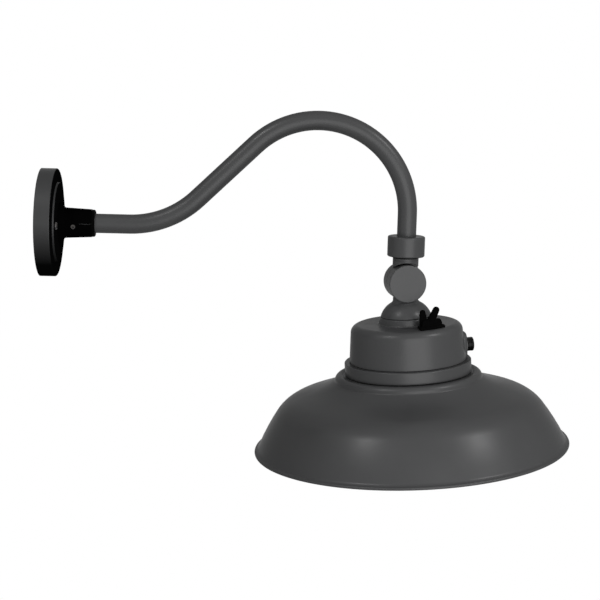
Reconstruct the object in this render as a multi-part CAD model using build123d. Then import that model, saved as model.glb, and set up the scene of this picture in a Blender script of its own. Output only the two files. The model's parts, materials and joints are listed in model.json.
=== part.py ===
from build123d import *
import math
import os

# Gooseneck wall light, in millimetres. The origin is the centre of the wall plate's back face.
# +X points away from the wall, +Z up, and the arm lies in the XZ plane.

# ---------------------------------------------------------------- clearances
thread_gap = 0.05
running_gap = 0.08
loose_gap = 0.3
cut_margin = 1.0

# ---------------------------------------------------------------- wall plate
plate_radius = 59.4
plate_depth = 17.5
plate_wall = 2.2
plate_edge_round = 1.4
plate_boss_radius = 44.0
plate_boss_rise = 2.6
plate_boss_round = 1.2
wall_gasket_width = 4.7
wall_gasket_thickness = 3.0
gasket_ledge_thickness = 1.6

# ---------------------------------------------------------------- mounting bracket and its screws
bracket_length = 102.0
bracket_width = 18.0
bracket_thickness = 2.0
bracket_corner = 3.0
bracket_centre_hole_radius = 6.0
box_screw_spacing = 88.9
box_slot_length = 9.6
box_slot_width = 4.8
plate_screw_spacing = 69.85
plate_screw_radius = 2.08
plate_screw_hole_radius = 2.4
plate_screw_head_radius = 4.1
plate_screw_head_height = 2.4
screw_recess_width = 0.9
screw_recess_depth = 1.1
screw_dome_share = 0.8
cross_recess_length_share = 1.2
cross_recess_width_share = 0.3
cross_recess_depth_share = 0.5
ground_screw_offset = 17.0
ground_screw_radius = 2.08
ground_screw_head_flats = 8.0
ground_screw_head_height = 2.6

# ---------------------------------------------------------------- arm hub
hub_flange_radius = 22.0
hub_flange_thickness = 4.0
hub_flange_round = 1.2
hub_base_radius = 16.9
hub_base_fillet = 4.0
hub_mouth_radius = 15.3
hub_mouth_x = 56.5
hub_mouth_round = 1.2
hub_shank_radius = 13.0
hub_shank_length = 11.0
hub_wireway_radius = 8.0
hub_slit_length = 14.2
hub_slit_width = 1.5
hub_nut_flats = 32.0
hub_nut_thickness = 5.0
set_screw_radius = 2.5
set_screw_recess = 0.5
set_screw_socket_flats = 2.5
set_screw_socket_depth = 2.2
hub_set_screw_x = 36.7
hub_set_screw_angle = 10.4
hub_seal_length = 3.0
hub_seal_mouth_radius = 14.9
hub_seal_round = 1.6

# ---------------------------------------------------------------- gooseneck arm
arm_radius = 10.65
arm_wall = 2.25
arm_start_x = 24.0
arm_rise_x = 96.9
arm_rise_radius = 107.3
arm_rise_angle = 44.0
arm_straight = 87.4
arm_crown_radius = 99.7

# ---------------------------------------------------------------- swivel collar
collar_radius = 20.7
collar_top_z = -5.8
collar_height = 22.8
collar_round = 1.8
collar_floor = 4.0
collar_socket_depth = 10.2
collar_cavity_radius = 9.9
collar_set_screw_depth = 5.0
swivel_stem_radius = 7.0
swivel_washer_radius = 13.6
swivel_washer_thickness = 1.7
friction_ring_radius = 9.4
friction_ring_thickness = 1.0
swivel_nut_radius = 9.5
swivel_nut_thickness = 4.0
swivel_nut_slot = 2.0
swivel_stem_past_nut = 1.0
wireway_radius = 4.5

# ---------------------------------------------------------------- knuckle
pivot_z = -57.4
swivel_rest_angle = 7.85
tilt_rest_angle = -4.25
knuckle_disc_radius = 20.8
knuckle_disc_round = 0.8
knuckle_thickness = 33.0
upper_neck_gap = 2.3
lower_neck_gap = 0.9
upper_neck_radius = 14.35
lower_neck_radius = 14.0
lower_neck_base_radius = 16.6
lower_neck_base_height = 2.6
lower_neck_base_round = 3.5
knuckle_seal_thickness = 0.8
knuckle_seal_outer_radius = 19.9
knuckle_seal_inner_radius = 14.8
knuckle_core_radius = 8.6
knuckle_cavity_radius = 14.0
knuckle_cavity_depth = 7.0
knuckle_duct_radius = 3.2
stem_bridge = 1.5
bolt_radius = 4.0
bolt_head_radius = 6.5
bolt_head_height = 5.0
bolt_head_sunk = 1.0
bolt_socket_flats = 5.0
bolt_socket_depth = 3.0
bolt_end_from_face = 4.0

# ---------------------------------------------------------------- dome cap
# Depths on the head are measured down the head's own axis from the knuckle's pivot.
dome_top_depth = 23.3
dome_arc_radius = 24.8
dome_arc_centre_depth = 44.8
dome_arc_centre_radius = 4.6
dome_rim_depth = 37.6
dome_wall = 2.3
dome_gasket_thickness = 0.8
dome_gasket_width = 4.0
stem_radius = 8.0
stem_past_nut = 1.5
stem_nut_flats = 22.0
stem_nut_thickness = 5.0

# ---------------------------------------------------------------- housing
housing_boss_radius = 29.3
housing_boss_flare = 1.7
housing_boss_round = 1.2
housing_boss_fillet = 2.0
housing_boss_wall = 4.0
housing_top_depth = 46.1
housing_shoulder_round = 9.1
housing_bottom_depth = 87.6
housing_bottom_radius = 65.3
housing_lean = 3.3
housing_wall = 3.0
housing_inner_round = 3.0
housing_gasket_width = 5.0
housing_gasket_thickness = 0.7
boss_length = 25.0
boss_radius = 4.8
boss_inset = 5.0
housing_screw_radius = 1.9
housing_screw_reach = 10.0
housing_screw_head_radius = 3.4
housing_screw_head_height = 3.0
housing_screw_head_sunk = 1.0
housing_screw_count = 4
sensor_pad_rise = 1.7
sensor_pad_width = 24.0
sensor_pad_drop = 14.0
sensor_pad_round = 8.0
sensor_pad_edge_round = 3.5
sensor_seat_rise = 0.5

# ---------------------------------------------------------------- photocell
photocell_height = 11.85
photocell_gasket_radius = 8.4
photocell_gasket_thickness = 0.8
photocell_flange_radius = 8.0
photocell_flange_thickness = 1.3
photocell_neck_radius = 6.3
photocell_neck_length = 4.0
photocell_end_radius = 7.3
photocell_end_length = 2.6
photocell_end_round = 1.2
photocell_lens_radius = 4.6
photocell_lens_sunk = 1.2
photocell_thread_radius = 5.6
photocell_thread_past_nut = 1.5
photocell_nut_flats = 15.0
photocell_nut_thickness = 4.0

# ---------------------------------------------------------------- selector switch and its cover
selector_x = 18.4
selector_edge_gap = 20.5
selector_opening_length = 21.8
selector_opening_width = 9.0
selector_body_length = 24.4
selector_body_width = 11.5
selector_body_height = 8.0
selector_slot_width = 3.0
selector_slot_depth = 3.0
selector_knob_pitch = 10.6
selector_knob_length = 2.6
selector_knob_height = 5.2
selector_travel = 2.5
cover_length = 29.4
cover_width = 20.0
cover_corner = 6.0
cover_edge_gap = 6.5
cover_lip_height = 3.0
cover_lip_round = 1.2
cover_shift = 3.0
cover_mound_height = 9.5
cover_mound_inset = 3.2
cover_mound_taper_angle = 28.0
cover_plug_length = 3.0
cover_plug_wall = 1.2
cover_pocket_height = 3.5
cover_tab_width = 7.6
cover_tab_thickness = 3.4
cover_tab_height = 21.5
cover_tab_offset = -8.8
cover_knob_radius = 3.3
cover_knob_height = 20.6
cover_knob_offset = 6.3
cover_neck_root_offset = 2.0
cover_neck_radius = 3.4

# ---------------------------------------------------------------- heat sink band and LED parts
band_overhang = 5.7
band_height = 14.0
band_round = 1.3
heat_sink_floor = 5.0
heat_sink_bore_inset = 0.6
heat_sink_wire_hole_radius = 4.0
wire_hole_inset = 10.0
led_board_gap = 4.0
led_board_thickness = 1.6
led_board_screw_count = 3
led_board_screw_inset = 5.0
led_board_screw_angle = 90.0
board_screw_radius = 1.4
board_screw_head_radius = 2.6
board_screw_head_height = 1.8
led_side = 3.2
led_height = 0.8
led_inner_circle = 14.0
led_inner_count = 6
led_outer_circle = 30.0
led_outer_count = 12

# ---------------------------------------------------------------- driver
driver_length = 84.0
driver_width = 46.0
driver_height = 22.0
driver_corner = 3.0
driver_edge_round = 1.5
driver_ear_length = 7.5
driver_ear_width = 16.0
driver_ear_thickness = 2.0
driver_screw_radius = 1.9
driver_screw_head_radius = 3.3
driver_screw_head_height = 2.2
terminal_length = 26.0
terminal_width = 14.0
terminal_height = 13.0
terminal_offset = 36.0
terminal_well_radius = 2.6
terminal_well_depth = 5.0
terminal_pitch = 8.0
terminal_ways = 3

# ---------------------------------------------------------------- shade
shade_wall = 1.2
shade_gasket_thickness = 0.7
shade_gasket_inner_inset = 1.9
shade_gasket_outer_inset = 0.7
shade_hole_inset = 5.9
shade_shoulder_overhang = 11.8
shade_shoulder_round = 7.6
shade_shoulder_angle = 84.0
shade_shoulder_drop = 0.3
shade_crease_round = 2.2
shade_waist_angle = 32.1
shade_waist_radius = 62.0
shade_brow_angle = 17.2
shade_brow_length = 28.5
shade_bell_radius = 47.7
shade_side_angle = 59.1
shade_side_length = 39.1
shade_flare_radius = 6.0
shade_flare_angle = 21.5
shade_bead_radius = 1.75

# ---------------------------------------------------------------- lens and its ring
lens_gasket_width = 7.0
lens_gasket_inset = 1.0
lens_inset = 7.1
lens_thickness = 3.0
lens_sunk = 1.0
lens_ring_lap = 4.8
lens_ring_inset = 1.5
lens_ring_lip = 2.6
lens_ring_round = 1.2
lens_ring_screw_inset = 5.0
lens_ring_screw_count = 6
lens_ring_screw_radius = 1.6
lens_ring_screw_reach = 7.0
lens_ring_screw_head_radius = 3.0
lens_ring_screw_head_height = 1.9

# ---------------------------------------------------------------- sizes that follow from the ones above
selector_slot_length = selector_knob_length + 2 * (selector_travel + loose_gap)
plate_face_x = plate_depth + plate_boss_rise
plate_back_x = plate_face_x - plate_wall
hub_seal_end_x = hub_mouth_x + hub_seal_length
arm_socket_radius = arm_radius + thread_gap

collar_bottom_z = collar_top_z - collar_height
collar_floor_top_z = collar_bottom_z + collar_floor
arm_end_z = collar_top_z - collar_socket_depth
neck_top_z = collar_bottom_z - swivel_washer_thickness
swivel_nut_bottom_z = collar_floor_top_z + friction_ring_thickness
swivel_stem_top_z = swivel_nut_bottom_z + swivel_nut_thickness + swivel_stem_past_nut

knuckle_half = knuckle_thickness / 2
disc_inner_face = knuckle_seal_thickness / 2
upper_cut_radius = knuckle_disc_radius + upper_neck_gap
lower_cut_radius = knuckle_disc_radius + lower_neck_gap
lower_neck_base_depth = dome_top_depth - lower_neck_base_height

housing_top_radius = housing_bottom_radius - housing_lean
boss_circle_radius = housing_top_radius - boss_inset
sensor_pad_face_x = housing_bottom_radius + sensor_pad_rise
sensor_pad_top_depth = housing_top_depth + sensor_pad_drop
sensor_seat_x = housing_top_radius - housing_wall - sensor_seat_rise
photocell_depth = housing_bottom_depth - photocell_height
selector_y = selector_edge_gap - housing_top_radius
cover_reach_radius = housing_top_radius - cover_edge_gap
band_radius = housing_bottom_radius + band_overhang
shade_shoulder_radius = band_radius + shade_shoulder_overhang
shade_gasket_outer_radius = band_radius - shade_gasket_outer_inset
lens_ring_radius = band_radius - lens_ring_inset
lens_ring_screw_circle = lens_ring_radius - lens_ring_screw_inset
shade_hole_radius = lens_ring_screw_circle - shade_hole_inset
shade_gasket_inner_radius = shade_hole_radius + shade_gasket_inner_inset
lens_radius = lens_ring_screw_circle - lens_inset
lens_opening_radius = lens_radius - lens_ring_lap
lens_gasket_outer_radius = shade_hole_radius - lens_gasket_inset
lens_gasket_inner_radius = lens_gasket_outer_radius - lens_gasket_width
heat_sink_bore_radius = lens_gasket_inner_radius - heat_sink_bore_inset
led_board_radius = heat_sink_bore_radius - led_board_gap
led_board_screw_circle = led_board_radius - led_board_screw_inset
heat_sink_wire_hole_y = led_board_radius - wire_hole_inset

boss_top_depth = dome_rim_depth + dome_gasket_thickness
stem_nut_depth = boss_top_depth + housing_boss_wall
stem_end_depth = stem_nut_depth + stem_nut_thickness + stem_past_nut
housing_ceiling_depth = housing_top_depth + housing_wall
band_top_depth = housing_bottom_depth + housing_gasket_thickness
band_bottom_depth = band_top_depth + band_height
board_top_depth = band_top_depth + heat_sink_floor
board_face_depth = board_top_depth + led_board_thickness
shade_top_depth = band_bottom_depth + shade_gasket_thickness
shade_underside_depth = shade_top_depth + shade_wall
lens_top_depth = shade_underside_depth + lens_sunk
lens_bottom_depth = lens_top_depth + lens_thickness
lens_ring_bottom_depth = lens_bottom_depth + lens_ring_lip
housing_screw_seat_z = -band_bottom_depth + housing_screw_head_sunk + housing_screw_head_height


# ---------------------------------------------------------------- shared shapes
def turned(corners):
    """Solid of revolution about Z, from (radius, height, rounding) corners in order."""
    points = [(radius, height) for radius, height, _ in corners]
    outline = FilletPolyline(*points, radius=[rounding for _, _, rounding in corners], close=True)
    return revolve(Plane.XZ * make_face(outline), Axis.Z)


def rod(radius, low, high):
    """Cylinder along Z from one height to another."""
    return Pos(0, 0, low) * Cylinder(radius, high - low, align=(Align.CENTER, Align.CENTER, Align.MIN))


def ring(outer_radius, inner_radius, low, high):
    """Plain ring along Z."""
    return rod(outer_radius, low, high) - rod(inner_radius, low, high)


def hexagon(flats, low, high):
    """Hexagonal prism along Z, with its distance across flats."""
    sketch = RegularPolygon(flats / 2, 6, major_radius=False)
    return extrude(Pos(0, 0, low) * sketch, high - low)


def block(length, width, low, high, corner=0.0):
    """Upright block along Z with rounded vertical corners."""
    sketch = RectangleRounded(length, width, corner) if corner else Rectangle(length, width)
    return extrude(Pos(0, 0, low) * sketch, high - low)


def slotted_screw(radius, head_radius, head_height, reach):
    """Domed screw with its head's seat at height 0 and its shank down to -reach."""
    dome_round = screw_dome_share * head_height
    head = turned(
        [(0, 0, 0), (head_radius, 0, 0), (head_radius, head_height, dome_round), (0, head_height, 0)]
    )
    slot_length = 2 * head_radius + cut_margin
    slot = block(slot_length, screw_recess_width, head_height - screw_recess_depth, head_height)
    return head + rod(radius, -reach, 0) - slot


def flat_screw(radius, head_radius, head_height, reach):
    """Low cylindrical screw with a cross recess, seated at height 0 with its shank down to -reach."""
    recess_length = cross_recess_length_share * head_radius
    recess_width = cross_recess_width_share * head_radius
    recess_low = (1 - cross_recess_depth_share) * head_height
    bar = block(recess_length, recess_width, recess_low, head_height)
    return rod(head_radius, 0, head_height) + rod(radius, -reach, 0) - bar - Rot(0, 0, 90) * bar


def set_screw(length):
    """Headless screw along Z from height 0 up, with a hexagon socket in its top."""
    socket = hexagon(set_screw_socket_flats, length - set_screw_socket_depth, length)
    return rod(set_screw_radius, 0, length) - socket


def around(count, circle_radius, first_angle=0.0):
    """Places evenly spaced on a circle about Z."""
    return PolarLocations(circle_radius, count, start_angle=first_angle)


def at_places(shape, places):
    """Separate copies of a shape at each place."""
    return Compound(children=[place * shape for place in places])


def cut_at(body, tool, places):
    """A body with the same tool cut out at each place."""
    for place in places:
        body = body - place * tool
    return body


# ---------------------------------------------------------------- placing frames
# Pieces on the wall are made along Z and laid over, so that their Z becomes +X and their Y stays.
on_wall = Rot(0, 90, 0)


def arm_path():
    """Centreline of the gooseneck, from the hub's socket to the collar's."""
    with BuildLine(Plane.XZ) as path:
        run = Line((arm_start_x, 0), (arm_rise_x, 0))
        rise = JernArc(run @ 1, run % 1, arm_rise_radius, arm_rise_angle)
        slope = Line(rise @ 1, rise @ 1 + (rise % 1) * arm_straight)
        crown = JernArc(slope @ 1, slope % 1, arm_crown_radius, -(90 + arm_rise_angle))
        Line(crown @ 1, Vector((crown @ 1).X, 0, arm_end_z))
    return path.wires()[0]


arm_centreline = arm_path()
drop_x = (arm_centreline @ 1).X
on_drop = Pos(drop_x, 0, 0)
on_swivel = Pos(drop_x, 0, pivot_z) * Rot(0, 0, swivel_rest_angle)
on_head = on_swivel * Rot(0, tilt_rest_angle, 0)


# ---------------------------------------------------------------- wall plate and what is behind it
def plate_screw_places():
    half = plate_screw_spacing / 2
    return [Pos(0, side * half, 0) for side in (-1, 1)]


def make_wall_plate():
    inner = plate_radius - plate_wall
    ledge = inner - wall_gasket_width
    ledge_top = wall_gasket_thickness + gasket_ledge_thickness
    plate = turned(
        [
            (hub_shank_radius + loose_gap, plate_face_x, 0),
            (plate_boss_radius, plate_face_x, plate_boss_round),
            (plate_boss_radius, plate_depth, plate_boss_round),
            (plate_radius, plate_depth, plate_edge_round),
            (plate_radius, 0, 0),
            (inner, 0, 0),
            (inner, wall_gasket_thickness, 0),
            (ledge, wall_gasket_thickness, 0),
            (ledge, ledge_top, 0),
            (inner, ledge_top, 0),
            (inner, plate_depth - plate_wall, 0),
            (plate_boss_radius - plate_wall, plate_depth - plate_wall, 0),
            (plate_boss_radius - plate_wall, plate_back_x, 0),
            (hub_shank_radius + loose_gap, plate_back_x, 0),
        ]
    )
    hole = rod(plate_screw_hole_radius, plate_back_x, plate_face_x)
    return on_wall * cut_at(plate, hole, plate_screw_places())


def make_wall_gasket():
    outer = plate_radius - plate_wall
    return on_wall * ring(outer, outer - wall_gasket_width, 0, wall_gasket_thickness)


def make_mounting_bracket():
    strap = block(bracket_width, bracket_length, 0, bracket_thickness, bracket_corner)
    strap = strap - rod(bracket_centre_hole_radius, 0, bracket_thickness)
    slot = extrude(SlotOverall(box_slot_length, box_slot_width, rotation=90), bracket_thickness)
    strap = cut_at(strap, slot, [Pos(0, side * box_screw_spacing / 2, 0) for side in (-1, 1)])
    tapped_hole = rod(plate_screw_radius + thread_gap, 0, bracket_thickness)
    strap = cut_at(strap, tapped_hole, plate_screw_places())
    ground_hole = rod(ground_screw_radius + thread_gap, 0, bracket_thickness)
    return on_wall * (strap - Pos(0, ground_screw_offset, 0) * ground_hole)


def make_plate_screws():
    screw = slotted_screw(
        plate_screw_radius, plate_screw_head_radius, plate_screw_head_height, plate_face_x
    )
    return at_places(screw, [on_wall * place * Pos(0, 0, plate_face_x) for place in plate_screw_places()])


def make_ground_screw():
    head = hexagon(ground_screw_head_flats, 0, ground_screw_head_height)
    slot = block(
        2 * ground_screw_head_flats,
        screw_recess_width,
        ground_screw_head_height - screw_recess_depth,
        ground_screw_head_height,
    )
    screw = head + rod(ground_screw_radius, -bracket_thickness, 0) - slot
    return on_wall * Pos(0, ground_screw_offset, bracket_thickness) * screw


# ---------------------------------------------------------------- hub
hub_set_screw_place = Pos(hub_set_screw_x, 0, 0) * Rot(90 + hub_set_screw_angle, 0, 0)


def hub_radius_at(x):
    """Outer radius of the hub's taper at a distance from the wall."""
    taper_start = plate_face_x + hub_flange_thickness
    share = (x - taper_start) / (hub_mouth_x - taper_start)
    return hub_base_radius + share * (hub_mouth_radius - hub_base_radius)


def make_arm_hub():
    flange_top = plate_face_x + hub_flange_thickness
    shank_end = plate_face_x - hub_shank_length
    hub = turned(
        [
            (arm_socket_radius, hub_mouth_x, 0),
            (hub_mouth_radius, hub_mouth_x, hub_mouth_round),
            (hub_base_radius, flange_top, hub_base_fillet),
            (hub_flange_radius, flange_top, hub_flange_round),
            (hub_flange_radius, plate_face_x, 0),
            (hub_shank_radius, plate_face_x, 0),
            (hub_shank_radius, shank_end, 0),
            (hub_wireway_radius, shank_end, 0),
            (hub_wireway_radius, arm_start_x, 0),
            (arm_socket_radius, arm_start_x, 0),
        ]
    )
    slit_depth = hub_base_radius
    slit = Pos(0, -slit_depth / 2, 0) * block(
        hub_slit_width, slit_depth, hub_mouth_x - hub_slit_length, hub_mouth_x
    )
    screw_hole = rod(set_screw_radius + thread_gap, arm_radius, hub_base_radius + cut_margin)
    return on_wall * (hub - slit) - hub_set_screw_place * screw_hole


def make_hub_lock_nut():
    nut = hexagon(hub_nut_flats, plate_back_x - hub_nut_thickness, plate_back_x)
    return on_wall * (nut - rod(hub_shank_radius + thread_gap, 0, plate_back_x))


def make_hub_set_screw():
    length = hub_radius_at(hub_set_screw_x) - arm_radius - set_screw_recess
    return hub_set_screw_place * Pos(0, 0, arm_radius + thread_gap) * set_screw(length)


def make_hub_seal():
    seal = turned(
        [
            (arm_socket_radius, hub_mouth_x, 0),
            (hub_seal_mouth_radius, hub_mouth_x, 0),
            (hub_seal_mouth_radius, hub_seal_end_x, hub_seal_round),
            (arm_socket_radius, hub_seal_end_x, 0),
        ]
    )
    return on_wall * seal


# ---------------------------------------------------------------- arm and collar
def make_gooseneck_arm():
    start = Plane(origin=arm_centreline @ 0, z_dir=arm_centreline % 0)
    outside = sweep(start * Circle(arm_radius), arm_centreline)
    inside = sweep(start * Circle(arm_radius - arm_wall), arm_centreline)
    return outside - inside


collar_screw_place = Pos(drop_x, 0, (collar_top_z + arm_end_z) / 2) * Rot(-90, 0, 0)


def make_swivel_collar():
    stem_hole = swivel_stem_radius + running_gap
    collar = turned(
        [
            (arm_socket_radius, collar_top_z, 0),
            (collar_radius, collar_top_z, collar_round),
            (collar_radius, collar_bottom_z, collar_round),
            (stem_hole, collar_bottom_z, 0),
            (stem_hole, collar_floor_top_z, 0),
            (collar_cavity_radius, collar_floor_top_z, 0),
            (collar_cavity_radius, arm_end_z, 0),
            (arm_socket_radius, arm_end_z, 0),
        ]
    )
    screw_hole = rod(set_screw_radius + thread_gap, arm_radius, collar_radius + cut_margin)
    return on_drop * collar - collar_screw_place * screw_hole


def make_collar_set_screw():
    length = collar_radius - arm_radius - collar_set_screw_depth
    return collar_screw_place * Pos(0, 0, arm_radius + thread_gap) * set_screw(length)


def make_swivel_friction_ring():
    low = collar_floor_top_z
    inner = swivel_stem_radius + thread_gap
    return on_drop * ring(friction_ring_radius, inner, low, low + friction_ring_thickness)


def make_swivel_nut():
    low = swivel_nut_bottom_z
    high = low + swivel_nut_thickness
    nut = ring(swivel_nut_radius, swivel_stem_radius + thread_gap, low, high)
    slot = block(2 * swivel_nut_radius + cut_margin, swivel_nut_slot, high - swivel_nut_slot, high)
    return on_drop * Rot(0, 0, swivel_rest_angle) * (nut - slot)


def make_swivel_washer():
    return on_drop * ring(swivel_washer_radius, swivel_stem_radius + thread_gap, neck_top_z, collar_bottom_z)


# ---------------------------------------------------------------- knuckle
# Discs are made along Z and turned so that their Z becomes the pivot's Y.
across_pivot = Rot(-90, 0, 0)


def knuckle_disc():
    """One disc along Z with an empty ring around its core, from its inner face to its outer face."""
    disc = turned(
        [
            (0, disc_inner_face, 0),
            (knuckle_disc_radius, disc_inner_face, 0),
            (knuckle_disc_radius, knuckle_half, knuckle_disc_round),
            (0, knuckle_half, 0),
        ]
    )
    return disc - ring(
        knuckle_cavity_radius, knuckle_core_radius, disc_inner_face, disc_inner_face + knuckle_cavity_depth
    )


def neck_cut(radius, side):
    """Room for the other half's disc, on one side of the pivot's middle plane."""
    far = knuckle_half + cut_margin
    low, high = (-far, disc_inner_face) if side < 0 else (-disc_inner_face, far)
    return across_pivot * rod(radius, low, high)


def make_knuckle_upper():
    neck_top = neck_top_z - pivot_z
    stem_top = swivel_stem_top_z - pivot_z
    neck = rod(upper_neck_radius, 0, neck_top) - neck_cut(upper_cut_radius, -1)
    disc_room = across_pivot * rod(knuckle_disc_radius - knuckle_disc_round, 0, knuckle_half + cut_margin)
    neck = neck - disc_room
    body = neck + across_pivot * knuckle_disc() + rod(swivel_stem_radius, neck_top, stem_top)
    wireway_bottom = upper_cut_radius + stem_bridge
    wireway = rod(wireway_radius, wireway_bottom, stem_top)
    duct_bottom = (knuckle_core_radius + knuckle_cavity_radius) / 2
    duct_y = disc_inner_face + knuckle_cavity_depth / 2
    duct = Pos(0, duct_y, 0) * rod(knuckle_duct_radius, duct_bottom, wireway_bottom + stem_bridge)
    bolt_hole = across_pivot * rod(bolt_radius + running_gap, 0, knuckle_half)
    head_hole = across_pivot * rod(
        bolt_head_radius + loose_gap, knuckle_half - bolt_head_sunk - bolt_head_height, knuckle_half
    )
    return on_swivel * (body - wireway - duct - bolt_hole - head_hole)


def make_knuckle_lower():
    disc_room = across_pivot * rod(knuckle_disc_radius - knuckle_disc_round, -knuckle_half - cut_margin, 0)
    neck = turned(
        [
            (0, 0, 0),
            (lower_neck_radius, 0, 0),
            (lower_neck_radius, -lower_neck_base_depth, lower_neck_base_round),
            (lower_neck_base_radius, -dome_top_depth, 0),
            (0, -dome_top_depth, 0),
        ]
    )
    neck = neck - neck_cut(lower_cut_radius, 1) - disc_room
    front_disc = across_pivot * Rot(180, 0, 0) * knuckle_disc()
    body = neck + front_disc + rod(stem_radius, -stem_end_depth, -dome_top_depth)
    wireway_top = -dome_top_depth - stem_bridge
    wireway = rod(wireway_radius, -stem_end_depth, wireway_top)
    duct_top = -(knuckle_core_radius + knuckle_cavity_radius) / 2
    duct_y = -disc_inner_face - knuckle_cavity_depth / 2
    duct = Pos(0, duct_y, 0) * rod(knuckle_duct_radius, wireway_top - stem_bridge, duct_top)
    bolt_hole_end = bolt_end_from_face - knuckle_half - cut_margin
    bolt_hole = across_pivot * rod(bolt_radius + running_gap, bolt_hole_end, 0)
    return on_head * (body - wireway - duct - bolt_hole)


def make_knuckle_bolt():
    seat = knuckle_half - bolt_head_sunk - bolt_head_height
    tip = bolt_end_from_face - knuckle_half
    head = rod(bolt_head_radius, seat, seat + bolt_head_height)
    socket = hexagon(
        bolt_socket_flats, seat + bolt_head_height - bolt_socket_depth, seat + bolt_head_height
    )
    return on_swivel * across_pivot * (head + rod(bolt_radius, tip, seat) - socket)


def make_knuckle_seal():
    seal = ring(knuckle_seal_outer_radius, knuckle_seal_inner_radius, -disc_inner_face, disc_inner_face)
    return on_swivel * across_pivot * seal


# ---------------------------------------------------------------- dome cap and stem
def dome_radius_at(depth, wall=0.0):
    """Radius of the dome's arc at a depth, measured on its outside or inside its wall."""
    drop = dome_arc_centre_depth - depth
    return dome_arc_centre_radius + math.sqrt((dome_arc_radius - wall) ** 2 - drop**2)


def make_dome_cap():
    stem_hole = stem_radius + loose_gap
    inner_top_depth = dome_top_depth + dome_wall
    centre = (dome_arc_centre_radius, -dome_arc_centre_depth)
    outer_top = (dome_radius_at(dome_top_depth), -dome_top_depth)
    outer_rim = (dome_radius_at(dome_rim_depth), -dome_rim_depth)
    inner_rim = (dome_radius_at(dome_rim_depth, dome_wall), -dome_rim_depth)
    inner_top = (dome_radius_at(inner_top_depth, dome_wall), -inner_top_depth)
    outer_from = math.degrees(math.atan2(outer_top[1] - centre[1], outer_top[0] - centre[0]))
    outer_to = math.degrees(math.atan2(outer_rim[1] - centre[1], outer_rim[0] - centre[0]))
    inner_from = math.degrees(math.atan2(inner_rim[1] - centre[1], inner_rim[0] - centre[0]))
    inner_to = math.degrees(math.atan2(inner_top[1] - centre[1], inner_top[0] - centre[0]))
    outline = [
        Line((stem_hole, -dome_top_depth), outer_top),
        CenterArc(centre, dome_arc_radius, outer_from, outer_to - outer_from),
        Line(outer_rim, inner_rim),
        CenterArc(centre, dome_arc_radius - dome_wall, inner_from, inner_to - inner_from),
        Line(inner_top, (stem_hole, -inner_top_depth)),
        Line((stem_hole, -inner_top_depth), (stem_hole, -dome_top_depth)),
    ]
    return on_head * revolve(Plane.XZ * make_face(outline), Axis.Z)


def make_dome_gasket():
    outer = dome_radius_at(dome_rim_depth)
    return on_head * ring(outer, outer - dome_gasket_width, -boss_top_depth, -dome_rim_depth)


def make_stem_nut():
    nut = hexagon(stem_nut_flats, -stem_nut_depth - stem_nut_thickness, -stem_nut_depth)
    bore = rod(stem_radius + thread_gap, -stem_nut_depth - stem_nut_thickness, -stem_nut_depth)
    return on_head * (nut - bore)


# ---------------------------------------------------------------- housing
def housing_radius_at(depth, wall=0.0):
    """Radius of the housing's tapered wall at a depth, outside or inside its wall."""
    share = (depth - housing_top_depth) / (housing_bottom_depth - housing_top_depth)
    return housing_top_radius + share * (housing_bottom_radius - housing_top_radius) - wall


def housing_screw_places():
    return around(housing_screw_count, boss_circle_radius, 180 / housing_screw_count)


along_sensor = Pos(0, 0, -photocell_depth) * Rot(0, 90, 0)
at_selector = Pos(selector_x, selector_y, 0)


def make_housing():
    stem_hole = stem_radius + loose_gap
    hollow_boss_radius = housing_boss_radius - housing_boss_wall
    ceiling_radius = housing_radius_at(housing_ceiling_depth, housing_wall)
    shell = turned(
        [
            (stem_hole, -boss_top_depth, 0),
            (housing_boss_radius, -boss_top_depth, housing_boss_round),
            (housing_boss_radius + housing_boss_flare, -housing_top_depth, housing_boss_fillet),
            (housing_top_radius, -housing_top_depth, housing_shoulder_round),
            (housing_bottom_radius, -housing_bottom_depth, 0),
            (housing_bottom_radius - housing_wall, -housing_bottom_depth, 0),
            (ceiling_radius, -housing_ceiling_depth, housing_inner_round),
            (hollow_boss_radius, -housing_ceiling_depth, 0),
            (hollow_boss_radius, -stem_nut_depth, 0),
            (stem_hole, -stem_nut_depth, 0),
        ]
    )
    within = turned(
        [
            (0, -housing_top_depth, 0),
            (housing_top_radius, -housing_top_depth, 0),
            (housing_bottom_radius, -housing_bottom_depth, 0),
            (0, -housing_bottom_depth, 0),
        ]
    )
    boss_top = -housing_bottom_depth + boss_length
    boss = rod(boss_radius, -housing_bottom_depth, boss_top)
    for place in housing_screw_places():
        shell = shell + (place * boss & within)
    pad_height = housing_bottom_depth - sensor_pad_top_depth
    pad_middle = -(housing_bottom_depth + sensor_pad_top_depth) / 2
    pad = Box(sensor_pad_face_x - sensor_seat_x, sensor_pad_width, pad_height)
    pad = fillet(pad.edges().filter_by(Axis.X).group_by(Axis.Z)[-1], sensor_pad_round)
    pad = fillet(pad.faces().sort_by(Axis.X)[-1].edges().sort_by(Axis.Z)[1:], sensor_pad_edge_round)
    shell = shell + Pos((sensor_pad_face_x + sensor_seat_x) / 2, 0, pad_middle) * pad
    screw_hole = rod(
        housing_screw_radius + thread_gap, -housing_bottom_depth, -housing_bottom_depth + housing_screw_reach
    )
    shell = cut_at(shell, screw_hole, housing_screw_places())
    shell = shell - along_sensor * rod(
        photocell_thread_radius + thread_gap, sensor_seat_x, sensor_pad_face_x
    )
    opening = block(
        selector_opening_length, selector_opening_width, -housing_ceiling_depth, -housing_top_depth
    )
    return on_head * (shell - at_selector * opening)


def make_housing_gasket():
    outer = housing_bottom_radius
    return on_head * ring(outer, outer - housing_gasket_width, -band_top_depth, -housing_bottom_depth)


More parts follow.
